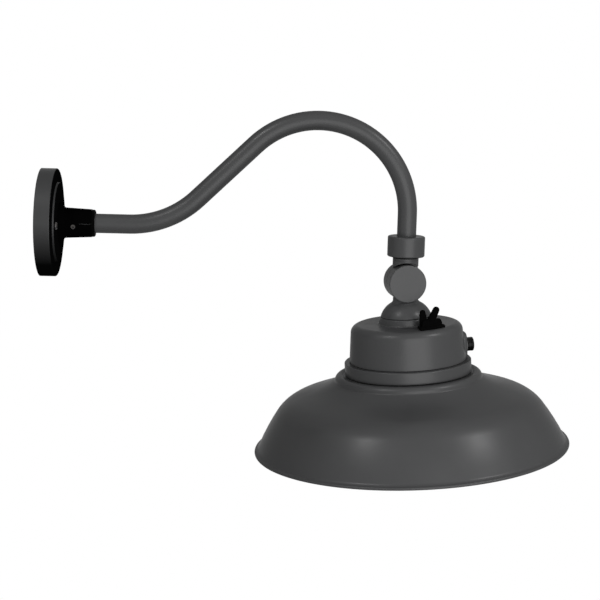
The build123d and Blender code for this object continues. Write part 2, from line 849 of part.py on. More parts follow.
# ---------------------------------------------------------------- photocell
photocell_flange_x = sensor_pad_face_x + photocell_gasket_thickness
photocell_neck_x = photocell_flange_x + photocell_flange_thickness
photocell_end_x = photocell_neck_x + photocell_neck_length
photocell_tip_x = photocell_end_x + photocell_end_length
photocell_lens_x = photocell_tip_x - photocell_lens_sunk


def make_photocell_gasket():
    inner = photocell_thread_radius + thread_gap
    return on_head * along_sensor * ring(
        photocell_gasket_radius, inner, sensor_pad_face_x, photocell_flange_x
    )


def make_photocell_body():
    body_end = sensor_seat_x - photocell_nut_thickness - photocell_thread_past_nut
    body = turned(
        [
            (0, body_end, 0),
            (photocell_thread_radius, body_end, 0),
            (photocell_thread_radius, photocell_flange_x, 0),
            (photocell_flange_radius, photocell_flange_x, 0),
            (photocell_flange_radius, photocell_neck_x, 0),
            (photocell_neck_radius, photocell_neck_x, 0),
            (photocell_neck_radius, photocell_end_x, 0),
            (photocell_end_radius, photocell_end_x, 0),
            (photocell_end_radius, photocell_tip_x, photocell_end_round),
            (photocell_lens_radius, photocell_tip_x, 0),
            (photocell_lens_radius, photocell_neck_x, 0),
            (0, photocell_neck_x, 0),
        ]
    )
    return on_head * along_sensor * body


def make_photocell_lens():
    lens = turned(
        [
            (0, photocell_neck_x, 0),
            (photocell_lens_radius - thread_gap, photocell_neck_x, 0),
            (photocell_lens_radius - thread_gap, photocell_lens_x, 0),
            (0, photocell_lens_x, 0),
        ]
    )
    return on_head * along_sensor * lens


def make_photocell_nut():
    low = sensor_seat_x - photocell_nut_thickness
    nut = hexagon(photocell_nut_flats, low, sensor_seat_x)
    return on_head * along_sensor * (nut - rod(photocell_thread_radius + thread_gap, low, sensor_seat_x))


# ---------------------------------------------------------------- selector switch and its rubber cover
def selector_knob_places():
    half = selector_knob_pitch / 2
    return [at_selector * Pos(side * half, 0, 0) for side in (-1, 1)]


def make_selector_switch():
    top = -housing_ceiling_depth
    body = block(selector_body_length, selector_body_width, top - selector_body_height, top)
    slot = block(selector_slot_length, selector_slot_width, top - selector_slot_depth, top)
    return on_head * cut_at(at_selector * body, slot, selector_knob_places())


def make_selector_knob(place):
    low = -housing_ceiling_depth - selector_slot_depth
    knob = block(
        selector_knob_length, selector_slot_width - 2 * running_gap, low, low + selector_knob_height
    )
    return on_head * place * knob


def cover_outline(length, width, corner):
    """Rounded rectangle over the selector, kept inside the housing's shoulder."""
    return Pos(selector_x, selector_y - cover_shift, 0) * RectangleRounded(length, width, corner) & Circle(
        cover_reach_radius
    )


def make_switch_cover():
    seat = -housing_top_depth
    lip = extrude(Pos(0, 0, seat) * cover_outline(cover_length, cover_width, cover_corner), cover_lip_height)
    lip = fillet(lip.faces().sort_by(Axis.Z)[-1].edges(), cover_lip_round)
    mound_length = cover_length - 2 * cover_mound_inset
    mound_width = cover_width - 2 * cover_mound_inset
    mound_sketch = cover_outline(mound_length, mound_width, cover_corner - cover_mound_inset)
    mound = extrude(Pos(0, 0, seat) * mound_sketch, cover_mound_height, taper=cover_mound_taper_angle)
    plug_length = selector_opening_length - 2 * loose_gap
    plug_width = selector_opening_width - 2 * loose_gap
    plug_end = seat - cover_plug_length
    plug = at_selector * block(plug_length, plug_width, plug_end, seat)
    pocket_length = plug_length - 2 * cover_plug_wall
    pocket_width = plug_width - 2 * cover_plug_wall
    pocket = at_selector * block(pocket_length, pocket_width, plug_end, plug_end + cover_pocket_height)
    tab_profile = SlotOverall(2 * cover_tab_height, cover_tab_width, rotation=90)
    tab = extrude(Plane.XZ * tab_profile, cover_tab_thickness / 2, both=True)
    tab = tab & Pos(0, 0, cover_tab_height / 2) * Box(cover_length, cover_width, cover_tab_height)
    tab_place = Pos(selector_x + cover_tab_offset, selector_y - cover_shift, seat)
    root = Vector(cover_neck_root_offset, 0, 0)
    tip = Vector(cover_knob_offset, 0, cover_knob_height)
    lean = math.degrees(math.atan2((tip - root).X, (tip - root).Z))
    neck = Pos(root.X, 0, 0) * Rot(0, lean, 0) * rod(cover_neck_radius, 0, (tip - root).length)
    knob = Pos(tip.X, tip.Y, tip.Z) * Sphere(cover_knob_radius)
    knob_place = Pos(selector_x, selector_y - cover_shift, seat)
    cover = lip + mound + tab_place * tab + knob_place * (neck + knob)
    above = Pos(selector_x, selector_y, seat + cover_tab_height) * Box(
        2 * cover_length, 2 * cover_width, 2 * cover_tab_height
    )
    return on_head * ((cover & above) + plug - pocket)


# ---------------------------------------------------------------- heat sink band
def lens_screw_places():
    return around(lens_ring_screw_count, lens_ring_screw_circle)


def board_screw_places():
    return around(led_board_screw_count, led_board_screw_circle, led_board_screw_angle)


def driver_screw_places():
    reach = (driver_length + driver_ear_length) / 2
    return [Pos(side * reach, 0, 0) for side in (-1, 1)]


def make_heat_sink():
    body = turned(
        [
            (0, -band_top_depth, 0),
            (band_radius, -band_top_depth, band_round),
            (band_radius, -band_bottom_depth, band_round),
            (heat_sink_bore_radius, -band_bottom_depth, 0),
            (heat_sink_bore_radius, -board_top_depth, 0),
            (0, -board_top_depth, 0),
        ]
    )
    through = rod(housing_screw_radius + loose_gap, -band_bottom_depth, -band_top_depth)
    head_room = rod(housing_screw_head_radius + loose_gap, -band_bottom_depth, housing_screw_seat_z)
    body = cut_at(body, through + head_room, housing_screw_places())
    lens_screw_hole = rod(
        lens_ring_screw_radius + thread_gap, -band_bottom_depth, -band_bottom_depth + lens_ring_screw_reach
    )
    body = cut_at(body, lens_screw_hole, lens_screw_places())
    board_screw_hole = rod(board_screw_radius + thread_gap, -board_top_depth, -band_top_depth)
    body = cut_at(body, board_screw_hole, board_screw_places())
    driver_screw_hole = rod(driver_screw_radius + thread_gap, -board_top_depth, -band_top_depth)
    body = cut_at(body, driver_screw_hole, driver_screw_places())
    wire_hole = rod(heat_sink_wire_hole_radius, -board_top_depth, -band_top_depth)
    return on_head * (body - Pos(0, -heat_sink_wire_hole_y, 0) * wire_hole)


def make_housing_screws():
    reach = -housing_bottom_depth + housing_screw_reach - housing_screw_seat_z
    screw = flat_screw(housing_screw_radius, housing_screw_head_radius, housing_screw_head_height, reach)
    screw = Pos(0, 0, housing_screw_seat_z) * Rot(180, 0, 0) * screw
    return at_places(screw, [on_head * place for place in housing_screw_places()])


# ---------------------------------------------------------------- LED board
def make_led_board():
    board = rod(led_board_radius, -board_face_depth, -board_top_depth)
    hole = rod(board_screw_radius + thread_gap, -board_face_depth, -board_top_depth)
    board = cut_at(board, hole, board_screw_places())
    wire_hole = rod(heat_sink_wire_hole_radius, -board_face_depth, -board_top_depth)
    return on_head * (board - Pos(0, -heat_sink_wire_hole_y, 0) * wire_hole)


def make_led_chips():
    chip = block(led_side, led_side, -board_face_depth - led_height, -board_face_depth)
    inner = around(led_inner_count, led_inner_circle)
    outer = around(led_outer_count, led_outer_circle, 180 / led_outer_count)
    places = [*inner, *outer]
    return at_places(chip, [on_head * place for place in places])


def make_board_screws():
    reach = led_board_thickness + heat_sink_floor
    screw = flat_screw(board_screw_radius, board_screw_head_radius, board_screw_head_height, reach)
    screw = Pos(0, 0, -board_face_depth) * Rot(180, 0, 0) * screw
    return at_places(screw, [on_head * place for place in board_screw_places()])


# ---------------------------------------------------------------- driver
def make_led_driver():
    low = -band_top_depth
    case = block(driver_length, driver_width, low, low + driver_height, driver_corner)
    case = fillet(case.faces().sort_by(Axis.Z)[-1].edges(), driver_edge_round)
    ears = block(driver_length + 2 * driver_ear_length, driver_ear_width, low, low + driver_ear_thickness)
    hole = rod(driver_screw_radius + loose_gap, low, low + driver_ear_thickness)
    return on_head * cut_at(case + ears, hole, driver_screw_places())


def make_driver_screws():
    seat = -band_top_depth + driver_ear_thickness
    screw = Pos(0, 0, seat) * flat_screw(
        driver_screw_radius,
        driver_screw_head_radius,
        driver_screw_head_height,
        driver_ear_thickness + heat_sink_floor - loose_gap,
    )
    return at_places(screw, [on_head * place for place in driver_screw_places()])


def make_terminal_block():
    low = -band_top_depth
    top = low + terminal_height
    body = block(terminal_length, terminal_width, low, top)
    places = [Pos((way - (terminal_ways - 1) / 2) * terminal_pitch, 0, 0) for way in range(terminal_ways)]
    body = cut_at(body, rod(terminal_well_radius, top - terminal_well_depth, top), places)
    return on_head * Pos(0, terminal_offset, 0) * body


# ---------------------------------------------------------------- shade
def make_shade_gasket():
    body = ring(shade_gasket_outer_radius, shade_gasket_inner_radius, -shade_top_depth, -band_bottom_depth)
    hole = rod(lens_ring_screw_radius + loose_gap, -shade_top_depth, -band_bottom_depth)
    return on_head * cut_at(body, hole, lens_screw_places())


def shade_line():
    """Half of the shade's outer outline, from the hole in its top to its rolled edge."""
    flat_end = shade_shoulder_radius - shade_shoulder_round
    top = Line((shade_hole_radius, -shade_top_depth), (flat_end, -shade_top_depth))
    shoulder = JernArc(top @ 1, top % 1, shade_shoulder_round, -shade_shoulder_angle)
    drop = Line(shoulder @ 1, shoulder @ 1 + (shoulder % 1) * shade_shoulder_drop)
    crease = JernArc(drop @ 1, drop % 1, shade_crease_round, shade_shoulder_angle - shade_waist_angle)
    waist = JernArc(crease @ 1, crease % 1, shade_waist_radius, shade_waist_angle - shade_brow_angle)
    brow = Line(waist @ 1, waist @ 1 + (waist % 1) * shade_brow_length)
    bell = JernArc(brow @ 1, brow % 1, shade_bell_radius, shade_brow_angle - shade_side_angle)
    side = Line(bell @ 1, bell @ 1 + (bell % 1) * shade_side_length)
    flare = JernArc(side @ 1, side % 1, shade_flare_radius, shade_side_angle - shade_flare_angle)
    runs = (top, shoulder, drop, crease, waist, brow, bell, side, flare)
    return Wire([run.edge() for run in runs])


def make_shade():
    line = shade_line()
    sheet = make_face(offset(line, amount=shade_wall, side=Side.RIGHT))
    shell = revolve(Plane.XZ * sheet, Axis.Z)
    edge = line @ 1
    middle = edge - Vector(0, shade_bead_radius, 0)
    bead = revolve(Plane.XZ * Pos(middle.X, middle.Y, 0) * Circle(shade_bead_radius), Axis.Z)
    shell = shell + bead
    hole = rod(lens_ring_screw_radius + loose_gap, -shade_underside_depth, -shade_top_depth)
    return on_head * cut_at(shell, hole, lens_screw_places())


# ---------------------------------------------------------------- lens
def make_lens_gasket():
    return on_head * ring(
        lens_gasket_outer_radius, lens_gasket_inner_radius, -lens_top_depth, -band_bottom_depth
    )


def make_diffuser_lens():
    return on_head * rod(lens_radius, -lens_bottom_depth, -lens_top_depth)


def make_lens_ring():
    recess = lens_radius + loose_gap
    body = turned(
        [
            (recess, -shade_underside_depth, 0),
            (lens_ring_radius, -shade_underside_depth, 0),
            (lens_ring_radius, -lens_ring_bottom_depth, lens_ring_round),
            (lens_opening_radius, -lens_ring_bottom_depth, lens_ring_round),
            (lens_opening_radius, -lens_bottom_depth, 0),
            (recess, -lens_bottom_depth, 0),
        ]
    )
    hole = rod(lens_ring_screw_radius + loose_gap, -lens_ring_bottom_depth, -shade_underside_depth)
    return on_head * cut_at(body, hole, lens_screw_places())


def make_lens_ring_screws():
    reach = lens_ring_bottom_depth - band_bottom_depth + lens_ring_screw_reach
    screw = flat_screw(
        lens_ring_screw_radius, lens_ring_screw_head_radius, lens_ring_screw_head_height, reach
    )
    screw = Pos(0, 0, -lens_ring_bottom_depth) * Rot(180, 0, 0) * screw
    return at_places(screw, [on_head * place for place in lens_screw_places()])


pieces = {
    "wall_plate": make_wall_plate(),
    "wall_gasket": make_wall_gasket(),
    "mounting_bracket": make_mounting_bracket(),
    "plate_screws": make_plate_screws(),
    "ground_screw": make_ground_screw(),
    "arm_hub": make_arm_hub(),
    "hub_lock_nut": make_hub_lock_nut(),
    "hub_set_screw": make_hub_set_screw(),
    "hub_seal": make_hub_seal(),
    "gooseneck_arm": make_gooseneck_arm(),
    "swivel_collar": make_swivel_collar(),
    "collar_set_screw": make_collar_set_screw(),
    "swivel_friction_ring": make_swivel_friction_ring(),
    "swivel_nut": make_swivel_nut(),
    "swivel_washer": make_swivel_washer(),
    "knuckle_upper": make_knuckle_upper(),
    "knuckle_bolt": make_knuckle_bolt(),
    "knuckle_seal": make_knuckle_seal(),
    "knuckle_lower": make_knuckle_lower(),
    "dome_cap": make_dome_cap(),
    "dome_gasket": make_dome_gasket(),
    "stem_nut": make_stem_nut(),
    "housing": make_housing(),
    "housing_gasket": make_housing_gasket(),
    "housing_screws": make_housing_screws(),
    "photocell_gasket": make_photocell_gasket(),
    "photocell_body": make_photocell_body(),
    "photocell_lens": make_photocell_lens(),
    "photocell_nut": make_photocell_nut(),
    "selector_switch": make_selector_switch(),
    "power_knob": make_selector_knob(selector_knob_places()[0]),
    "colour_knob": make_selector_knob(selector_knob_places()[1]),
    "switch_cover": make_switch_cover(),
    "heat_sink": make_heat_sink(),
    "led_board": make_led_board(),
    "led_chips": make_led_chips(),
    "board_screws": make_board_screws(),
    "led_driver": make_led_driver(),
    "driver_screws": make_driver_screws(),
    "terminal_block": make_terminal_block(),
    "shade_gasket": make_shade_gasket(),
    "shade": make_shade(),
    "lens_gasket": make_lens_gasket(),
    "diffuser_lens": make_diffuser_lens(),
    "lens_ring": make_lens_ring(),
    "lens_ring_screws": make_lens_ring_screws(),
}

os.makedirs("parts", exist_ok=True)
for name, shape in pieces.items():
    export_step(shape, f"parts/{name}.step")
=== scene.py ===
"""Looks of the gooseneck barn light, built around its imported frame."""

import json
import logging
import math
from dataclasses import dataclass, field
from enum import Enum
from typing import Callable, Iterable

import bmesh
import bpy
from mathutils import Matrix, Vector


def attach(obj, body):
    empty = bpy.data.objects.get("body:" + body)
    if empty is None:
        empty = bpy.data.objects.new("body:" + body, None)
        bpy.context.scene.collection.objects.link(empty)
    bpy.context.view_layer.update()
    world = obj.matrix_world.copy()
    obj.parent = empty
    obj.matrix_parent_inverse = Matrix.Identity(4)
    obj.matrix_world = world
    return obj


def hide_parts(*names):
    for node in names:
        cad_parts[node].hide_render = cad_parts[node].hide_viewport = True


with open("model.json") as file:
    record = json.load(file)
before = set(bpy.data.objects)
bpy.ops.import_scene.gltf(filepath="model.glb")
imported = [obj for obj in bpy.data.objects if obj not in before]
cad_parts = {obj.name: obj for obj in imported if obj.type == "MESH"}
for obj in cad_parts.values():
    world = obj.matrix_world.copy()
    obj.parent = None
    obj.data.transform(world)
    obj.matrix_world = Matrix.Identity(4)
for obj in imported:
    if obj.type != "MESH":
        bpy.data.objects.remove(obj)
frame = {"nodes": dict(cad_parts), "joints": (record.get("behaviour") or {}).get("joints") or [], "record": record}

logging.basicConfig(level=logging.INFO, format="%(message)s")
log = logging.getLogger("barn_light")

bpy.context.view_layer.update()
MM = 0.001
MERGE = 0.002 * MM
TOUCH = 0.01 * MM
SMOOTH_ANGLE = math.radians(32)
QUARTER = math.radians(90)
UPRIGHT = 0.9
WHITE = (1.0, 1.0, 1.0, 1.0)
Colour = tuple[float, float, float]
Socket = bpy.types.NodeSocket
Outline = list[tuple[float, float]]
Test = Callable[[Vector, Vector], bool]


# --------------------------------------------------------------------------- places
def joint_facts(name: str) -> dict:
    """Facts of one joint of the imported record.

    Args:
        name: The joint's name.

    Returns:
        The joint's entry, with its axis and, on a hinge, its pos_m.
    """
    return next(joint for joint in frame["joints"] if joint["name"] == name)


class HeadPlace:
    """The head's own straight frame: its origin is the knuckle's pivot and its Z runs up its axis."""

    def __init__(self) -> None:
        """Reads the head's rest pose from the joints of the record."""
        up = Vector(joint_facts("cover_pull")["axis"]).normalized()
        side = Vector(joint_facts("power_slide")["axis"]).normalized()
        self.pivot = Vector(joint_facts("head_tilt")["pos_m"])
        turn = Matrix((side, up.cross(side), up)).transposed()
        self.matrix = Matrix.Translation(self.pivot) @ turn.to_4x4()

    @property
    def turn(self) -> tuple[float, float, float]:
        """Angles of the head's frame, for a Mapping node."""
        return tuple(self.matrix.to_euler("XYZ"))


HEAD = HeadPlace()


# --------------------------------------------------------------------------- shader sheets
class Sheet:
    """A material's or a world's node tree, with short ways to add and join its nodes."""

    def __init__(self, name: str, world: bool = False) -> None:
        """Starts with an output alone.

        Args:
            name: The material's or the world's name.
            world: Whether it is a world.
        """
        self.owner = (bpy.data.worlds if world else bpy.data.materials).new(name)
        self.owner.use_nodes = True
        self.tree = self.owner.node_tree
        self.tree.nodes.clear()
        self.output = self.tree.nodes.new("ShaderNodeOutput" + ("World" if world else "Material"))

    def add(self, kind: str, inputs: dict | None = None, **settings: object) -> bpy.types.Node:
        """Adds a node.

        Args:
            kind: The node's type, without its ShaderNode prefix.
            inputs: Input names or numbers, each with a value or a socket to link.
            settings: Attributes of the node.

        Returns:
            The new node.
        """
        node = self.tree.nodes.new("ShaderNode" + kind)
        for key, value in settings.items():
            setattr(node, key, value)
        for key, value in (inputs or {}).items():
            if isinstance(value, bpy.types.NodeSocket):
                self.tree.links.new(value, node.inputs[key])
            else:
                node.inputs[key].default_value = value
        return node

    def position(self, on_head: bool = False) -> Socket:
        """Object coordinates, in the row's frame or in the head's own.

        Args:
            on_head: Whether the coordinates are turned into the head's frame.

        Returns:
            The coordinates' socket.
        """
        coordinates = self.add("TexCoord").outputs["Object"]
        if not on_head:
            return coordinates
        mapping = self.add("Mapping", {"Vector": coordinates}, vector_type="TEXTURE")
        mapping.inputs["Location"].default_value = HEAD.pivot
        mapping.inputs["Rotation"].default_value = HEAD.turn
        return mapping.outputs["Vector"]

    def normal(self, on_head: bool = False) -> Socket:
        """Surface normal in object coordinates, in the row's frame or the head's own."""
        direction = self.add("TexCoord").outputs["Normal"]
        if not on_head:
            return direction
        mapping = self.add("Mapping", {"Vector": direction}, vector_type="TEXTURE")
        mapping.inputs["Rotation"].default_value = HEAD.turn
        return mapping.outputs["Vector"]

    def noise(self, where: Socket, per_metre: float, detail: float = 3.0, rough: float = 0.55) -> Socket:
        """Value of a noise texture with a number of features to the metre."""
        inputs = {"Vector": where, "Scale": per_metre, "Detail": detail, "Roughness": rough}
        return self.add("TexNoise", inputs).outputs["Fac"]

    def ranged(self, value: Socket, low: float, high: float, start: float = 0.3, end: float = 0.7) -> Socket:
        """A value stretched from one range to another and clamped there."""
        inputs = {"Value": value, "From Min": start, "From Max": end, "To Min": low, "To Max": high}
        return self.add("MapRange", inputs).outputs["Result"]

    def maths(self, operation: str, first: Socket | float, second: Socket | float = 0.0) -> Socket:
        """Result of a Math node on two values."""
        return self.add("Math", {0: first, 1: second}, operation=operation).outputs[0]

    def blend(self, factor: Socket | float, first: Socket | Colour, second: Socket | Colour) -> Socket:
        """Colour between two others by a factor."""
        node = self.add("Mix", {"Factor": factor}, data_type="RGBA")
        for number, value in ((6, first), (7, second)):
            if isinstance(value, bpy.types.NodeSocket):
                self.tree.links.new(value, node.inputs[number])
            else:
                node.inputs[number].default_value = (*value, 1.0)
        return node.outputs[2]

    def bump(self, height: Socket, depth: float, strength: float, under: Socket | None = None) -> Socket:
        """Bumped normal from a height, with its full depth in metres."""
        inputs = {"Height": height, "Distance": depth, "Strength": strength}
        if under is not None:
            inputs["Normal"] = under
        return self.add("Bump", inputs).outputs["Normal"]

    def finish(self, surface: Socket) -> bpy.types.Material | bpy.types.World:
        """Joins the surface to the output and returns the material or the world."""
        self.tree.links.new(surface, self.output.inputs["Surface"])
        return self.owner


# --------------------------------------------------------------------------- finishes
def shades(colour: Colour, amount: float) -> tuple[Colour, Colour]:
    """A colour made darker and lighter by a share."""
    darker = tuple(channel * (1 - amount) for channel in colour)
    lighter = tuple(channel * (1 + amount) for channel in colour)
    return darker, lighter


@dataclass(frozen=True)
class Finish:
    """A kind of surface, which its own classes describe by their layers."""

    name: str
    colour: Colour

    def layers(self, sheet: Sheet) -> dict:
        """Inputs of the principled surface."""
        raise NotImplementedError

    def make(self) -> bpy.types.Material:
        """The material."""
        sheet = Sheet(self.name)
        surface = sheet.add("BsdfPrincipled", self.layers(sheet))
        return sheet.finish(surface.outputs[0])


@dataclass(frozen=True)
class PowderCoat(Finish):
    """Sprayed and baked powder: a fine orange peel under soft, slightly uneven gloss."""

    roughness: float = 0.34
    unevenness: float = 0.04
    peel_per_metre: float = 620.0
    peel_depth: float = 0.00006
    specular: float = 0.008
    sheen: float = 24.0
    dust: float = 0.08
    speckle_per_metre: float = 2400.0
    cloud_per_metre: float = 22.0

    def layers(self, sheet: Sheet) -> dict:
        """Peel and speckle in the relief, and cloud in the colour and gloss."""
        where = sheet.position()
        peel = sheet.noise(where, self.peel_per_metre, 2.0)
        speckle = sheet.noise(where, self.speckle_per_metre, 1.0)
        cloud = sheet.noise(where, self.cloud_per_metre, 4.0)
        height = sheet.maths("MULTIPLY_ADD", speckle, 0.25)
        sheet.tree.links.new(peel, height.node.inputs[2])
        rough = sheet.ranged(cloud, self.roughness - self.unevenness, self.roughness + self.unevenness)
        return {
            "Base Color": sheet.blend(cloud, *shades(self.colour, self.dust)),
            "Roughness": rough,
            "Specular IOR Level": self.specular,
            "Specular Tint": (self.sheen, self.sheen, self.sheen, 1.0),
            "Normal": sheet.bump(height, self.peel_depth, 0.5),
        }


@dataclass(frozen=True)
class WallCoatWithPaintedShade(PowderCoat):
    """The wall plate's coat: grey on the rim, with painted shade that makes it near black on its face and towards its
    foot.
    """

    # face is the colour of the painted shade; foot and waist are the heights where the painted shade towards the foot
    # is full and where it fades out.
    face: Colour = (0.0026, 0.0026, 0.0027)
    foot: float = -0.042
    waist: float = 0.004

    def layers(self, sheet: Sheet) -> dict:
        """The coat's own layers, with painted shade on the face, told by the way the surface looks, and towards the
        foot.
        """
        inputs = super().layers(sheet)
        outward = sheet.add("SeparateXYZ", {0: sheet.normal()}).outputs["X"]
        height = sheet.add("SeparateXYZ", {0: sheet.position()}).outputs["Z"]
        # Painted shade: the face and the rim below the waist are mixed to near black and lose their gloss.
        painted_shade_on_face = sheet.ranged(outward, 0.0, 1.0, 0.25, 0.8)
        low = sheet.ranged(height, 1.0, 0.0, self.foot, self.waist)
        painted_shade = sheet.maths("MAXIMUM", painted_shade_on_face, low)
        inputs["Base Color"] = sheet.blend(painted_shade, inputs["Base Color"], self.face)
        inputs["Specular IOR Level"] = sheet.ranged(painted_shade, self.specular, 0.0, 0.0, 1.0)
        return inputs


@dataclass(frozen=True)
class Rubber(Finish):
    """Moulded rubber or silicone: no gloss, a fine grain and a bloom of paler skin."""

    roughness: float = 0.72
    grain_per_metre: float = 1500.0
    grain_depth: float = 0.00008
    specular: float = 0.06
    bloom_per_metre: float = 90.0

    def layers(self, sheet: Sheet) -> dict:
        """Grain in the relief, and bloom in the colour and gloss."""
        where = sheet.position()
        grain = sheet.noise(where, self.grain_per_metre, 3.0, 0.6)
        bloom = sheet.noise(where, self.bloom_per_metre, 4.0)
        return {
            "Base Color": sheet.blend(bloom, *shades(self.colour, 0.3)),
            "Roughness": sheet.ranged(bloom, self.roughness - 0.08, self.roughness + 0.1),
            "Specular IOR Level": self.specular,
            "Normal": sheet.bump(grain, self.grain_depth, 0.5),
        }


@dataclass(frozen=True)
class Foam(Finish):
    """Closed-cell foam with small open pores on its cut faces."""

    cells_per_metre: float = 900.0

    def layers(self, sheet: Sheet) -> dict:
        """Pores in the colour and the relief."""
        where = sheet.position()
        cells = sheet.add("TexVoronoi", {"Vector": where, "Scale": self.cells_per_metre})
        pores = sheet.ranged(cells.outputs["Distance"], 0.0, 1.0, 0.1, 0.5)
        return {
            "Base Color": sheet.blend(pores, *shades(self.colour, 0.35)),
            "Roughness": 0.92,
            "Normal": sheet.bump(pores, 0.0003, 0.6),
        }


@dataclass(frozen=True)
class Plated(Finish):
    """Plated or oxidised steel with blotches, fine scratches and duller patches."""

    second: Colour
    roughness: float = 0.34
    metallic: float = 1.0
    blotch_per_metre: float = 140.0
    scratch_per_metre: float = 3800.0

    def layers(self, sheet: Sheet) -> dict:
        """Blotches in the colour and gloss, and scratches in the relief."""
        where = sheet.position()
        blotch = sheet.noise(where, self.blotch_per_metre, 5.0, 0.65)
        stretched = sheet.add("Mapping", {"Vector": where, "Scale": (1.0, 0.06, 1.0)}).outputs[0]
        scratch = sheet.noise(stretched, self.scratch_per_metre, 2.0)
        return {
            "Base Color": sheet.blend(sheet.ranged(blotch, 0.0, 1.0), self.colour, self.second),
            "Metallic": self.metallic,
            "Roughness": sheet.ranged(blotch, self.roughness - 0.08, self.roughness + 0.14),
            "Normal": sheet.bump(scratch, 0.00003, 0.5),
        }


@dataclass(frozen=True)
class Moulded(Finish):
    """Moulded plastic with a spark-eroded texture and faint flow marks."""

    roughness: float = 0.45
    texture_per_metre: float = 1800.0
    texture_depth: float = 0.00005
    specular: float = 0.5
    flow_per_metre: float = 60.0

    def layers(self, sheet: Sheet) -> dict:
        """Texture in the relief, and flow marks in the colour and gloss."""
        where = sheet.position()
        texture = sheet.noise(where, self.texture_per_metre, 2.0)
        flow = sheet.noise(where, self.flow_per_metre, 3.0)
        return {
            "Base Color": sheet.blend(flow, *shades(self.colour, 0.1)),
            "Roughness": sheet.ranged(flow, self.roughness - 0.05, self.roughness + 0.06),
            "Specular IOR Level": self.specular,
            "Normal": sheet.bump(texture, self.texture_depth, 0.4),
        }


@dataclass(frozen=True)
class Opal(Finish):
    """Frosted opal lens: milky, with a soft etched skin and fine moulded rings."""

    rings_per_metre: float = 330.0
    etched_per_metre: float = 2600.0

    def layers(self, sheet: Sheet) -> dict:
        """Rings over an etched skin, with some light let through."""
        where = sheet.position(on_head=True)
        flat = sheet.add("VectorMath", {0: where, 1: (1, 1, 0)}, operation="MULTIPLY").outputs[0]
        radius = sheet.add("VectorMath", {0: flat}, operation="LENGTH").outputs["Value"]
        phase = sheet.maths("MULTIPLY", radius, self.rings_per_metre * math.tau)
        rings = sheet.maths("MULTIPLY_ADD", sheet.maths("SINE", phase), 0.5)
        rings.node.inputs[2].default_value = 0.5
        etched = sheet.noise(where, self.etched_per_metre, 2.0)
        under = sheet.bump(etched, 0.00005, 0.4)
        return {
            "Base Color": sheet.blend(sheet.noise(where, 40.0, 3.0), *shades(self.colour, 0.06)),
            "Roughness": sheet.ranged(etched, 0.28, 0.4),
            "Transmission Weight": 0.18,
            "IOR": 1.49,
            "Normal": sheet.bump(rings, 0.00012, 0.5, under),
        }


@dataclass(frozen=True)
class CircuitBoard(Finish):
    """White solder mask with raised tracks running under it."""

    tracks_per_metre: float = 90.0

    def layers(self, sheet: Sheet) -> dict:
        """Tracks in the colour and the relief."""
        where = sheet.position(on_head=True)
        tracks = sheet.add("TexVoronoi", {"Vector": where, "Scale": self.tracks_per_metre}, feature="DISTANCE_TO_EDGE")
        gap = sheet.ranged(tracks.outputs["Distance"], 0.0, 1.0, 0.03, 0.06)
        return {
            "Base Color": sheet.blend(gap, *shades(self.colour, 0.08)),
            "Roughness": 0.38,
            "Normal": sheet.bump(gap, 0.00006, 0.6),
        }


BLACK_POWDER = PowderCoat("black_powder", (0.055, 0.0556, 0.0566))
WHITE_ENAMEL = PowderCoat("white_enamel", (0.80, 0.80, 0.78), roughness=0.3, specular=0.4, sheen=1.0, dust=0.03)
SEAM_RUBBER = Rubber("seam_rubber", (0.012, 0.012, 0.012))

FINISHES: dict[str, Finish] = {
    "painted_aluminium": BLACK_POWDER,
    "hub_black": PowderCoat("hub_powder", (0.0014, 0.0014, 0.0014), roughness=0.5, specular=0.0, sheen=1.0),
    "zinc_steel": Plated("zinc_plate", (0.62, 0.62, 0.58), (0.52, 0.53, 0.55)),
    "black_steel": Plated("black_oxide", (0.03, 0.03, 0.032), (0.06, 0.055, 0.05), metallic=0.8),
    "green_steel": Plated("green_dye", (0.04, 0.3, 0.09), (0.06, 0.36, 0.12)),
    "black_rubber": Rubber("black_rubber", (0.0016, 0.0016, 0.0016), specular=0.01),
    "grey_foam": Foam("gasket_foam", (0.1, 0.1, 0.1)),
    "white_silicone": Rubber("white_silicone", (0.66, 0.66, 0.64), roughness=0.5),
    "board_white": CircuitBoard("solder_mask", (0.8, 0.8, 0.77)),
    "led_yellow": Moulded("phosphor", (0.86, 0.66, 0.12), roughness=0.6),
    "opal_lens": Opal("opal_lens", (0.86, 0.86, 0.85)),
    "driver_case": Plated("driver_can", (0.36, 0.37, 0.38), (0.3, 0.31, 0.33), roughness=0.45),
    "terminal_white": Moulded("terminal_nylon", (0.72, 0.72, 0.69)),
    "switch_black": Moulded("switch_plastic", (0.02, 0.02, 0.02)),
    "knob_white": Moulded("knob_plastic", (0.8, 0.8, 0.78), roughness=0.35),
    "sensor_black": Moulded("sensor_plastic", (0.003, 0.003, 0.003), roughness=0.3, specular=0.08),
    "sensor_lens": Moulded("sensor_window", (0.16, 0.15, 0.14), roughness=0.12),
}
NODE_FINISHES: dict[str, Finish] = {
    "wall_plate": WallCoatWithPaintedShade("plate_powder_painted_shade", (0.042, 0.0423, 0.043)),
    "housing_gasket": SEAM_RUBBER,
    "shade_gasket": SEAM_RUBBER,
    "dome_gasket": SEAM_RUBBER,
    "photocell_gasket": Rubber("sensor_seal", (0.16, 0.16, 0.16)),
}


# --------------------------------------------------------------------------- modelling by operators
class Parts(Enum):
    """What an edit step selects."""

    FACES = "FACE"
    EDGES = "EDGE"
    POINTS = "VERT"


def deselect() -> None:
    """Leaves object mode with nothing selected."""
    if bpy.context.object and bpy.context.object.mode != "OBJECT":
        bpy.ops.object.mode_set(mode="OBJECT")
    bpy.ops.object.select_all(action="DESELECT")


def choose(piece: bpy.types.Object) -> None:
    """Selects one object and makes it active."""
    deselect()
    piece.select_set(True)
    bpy.context.view_layer.objects.active = piece


def dress(piece: bpy.types.Object, *finishes: bpy.types.Material) -> None:
    """Gives a piece its materials, in place of what it had."""
    piece.data.materials.clear()
    for finish in finishes:
        piece.data.materials.append(finish)


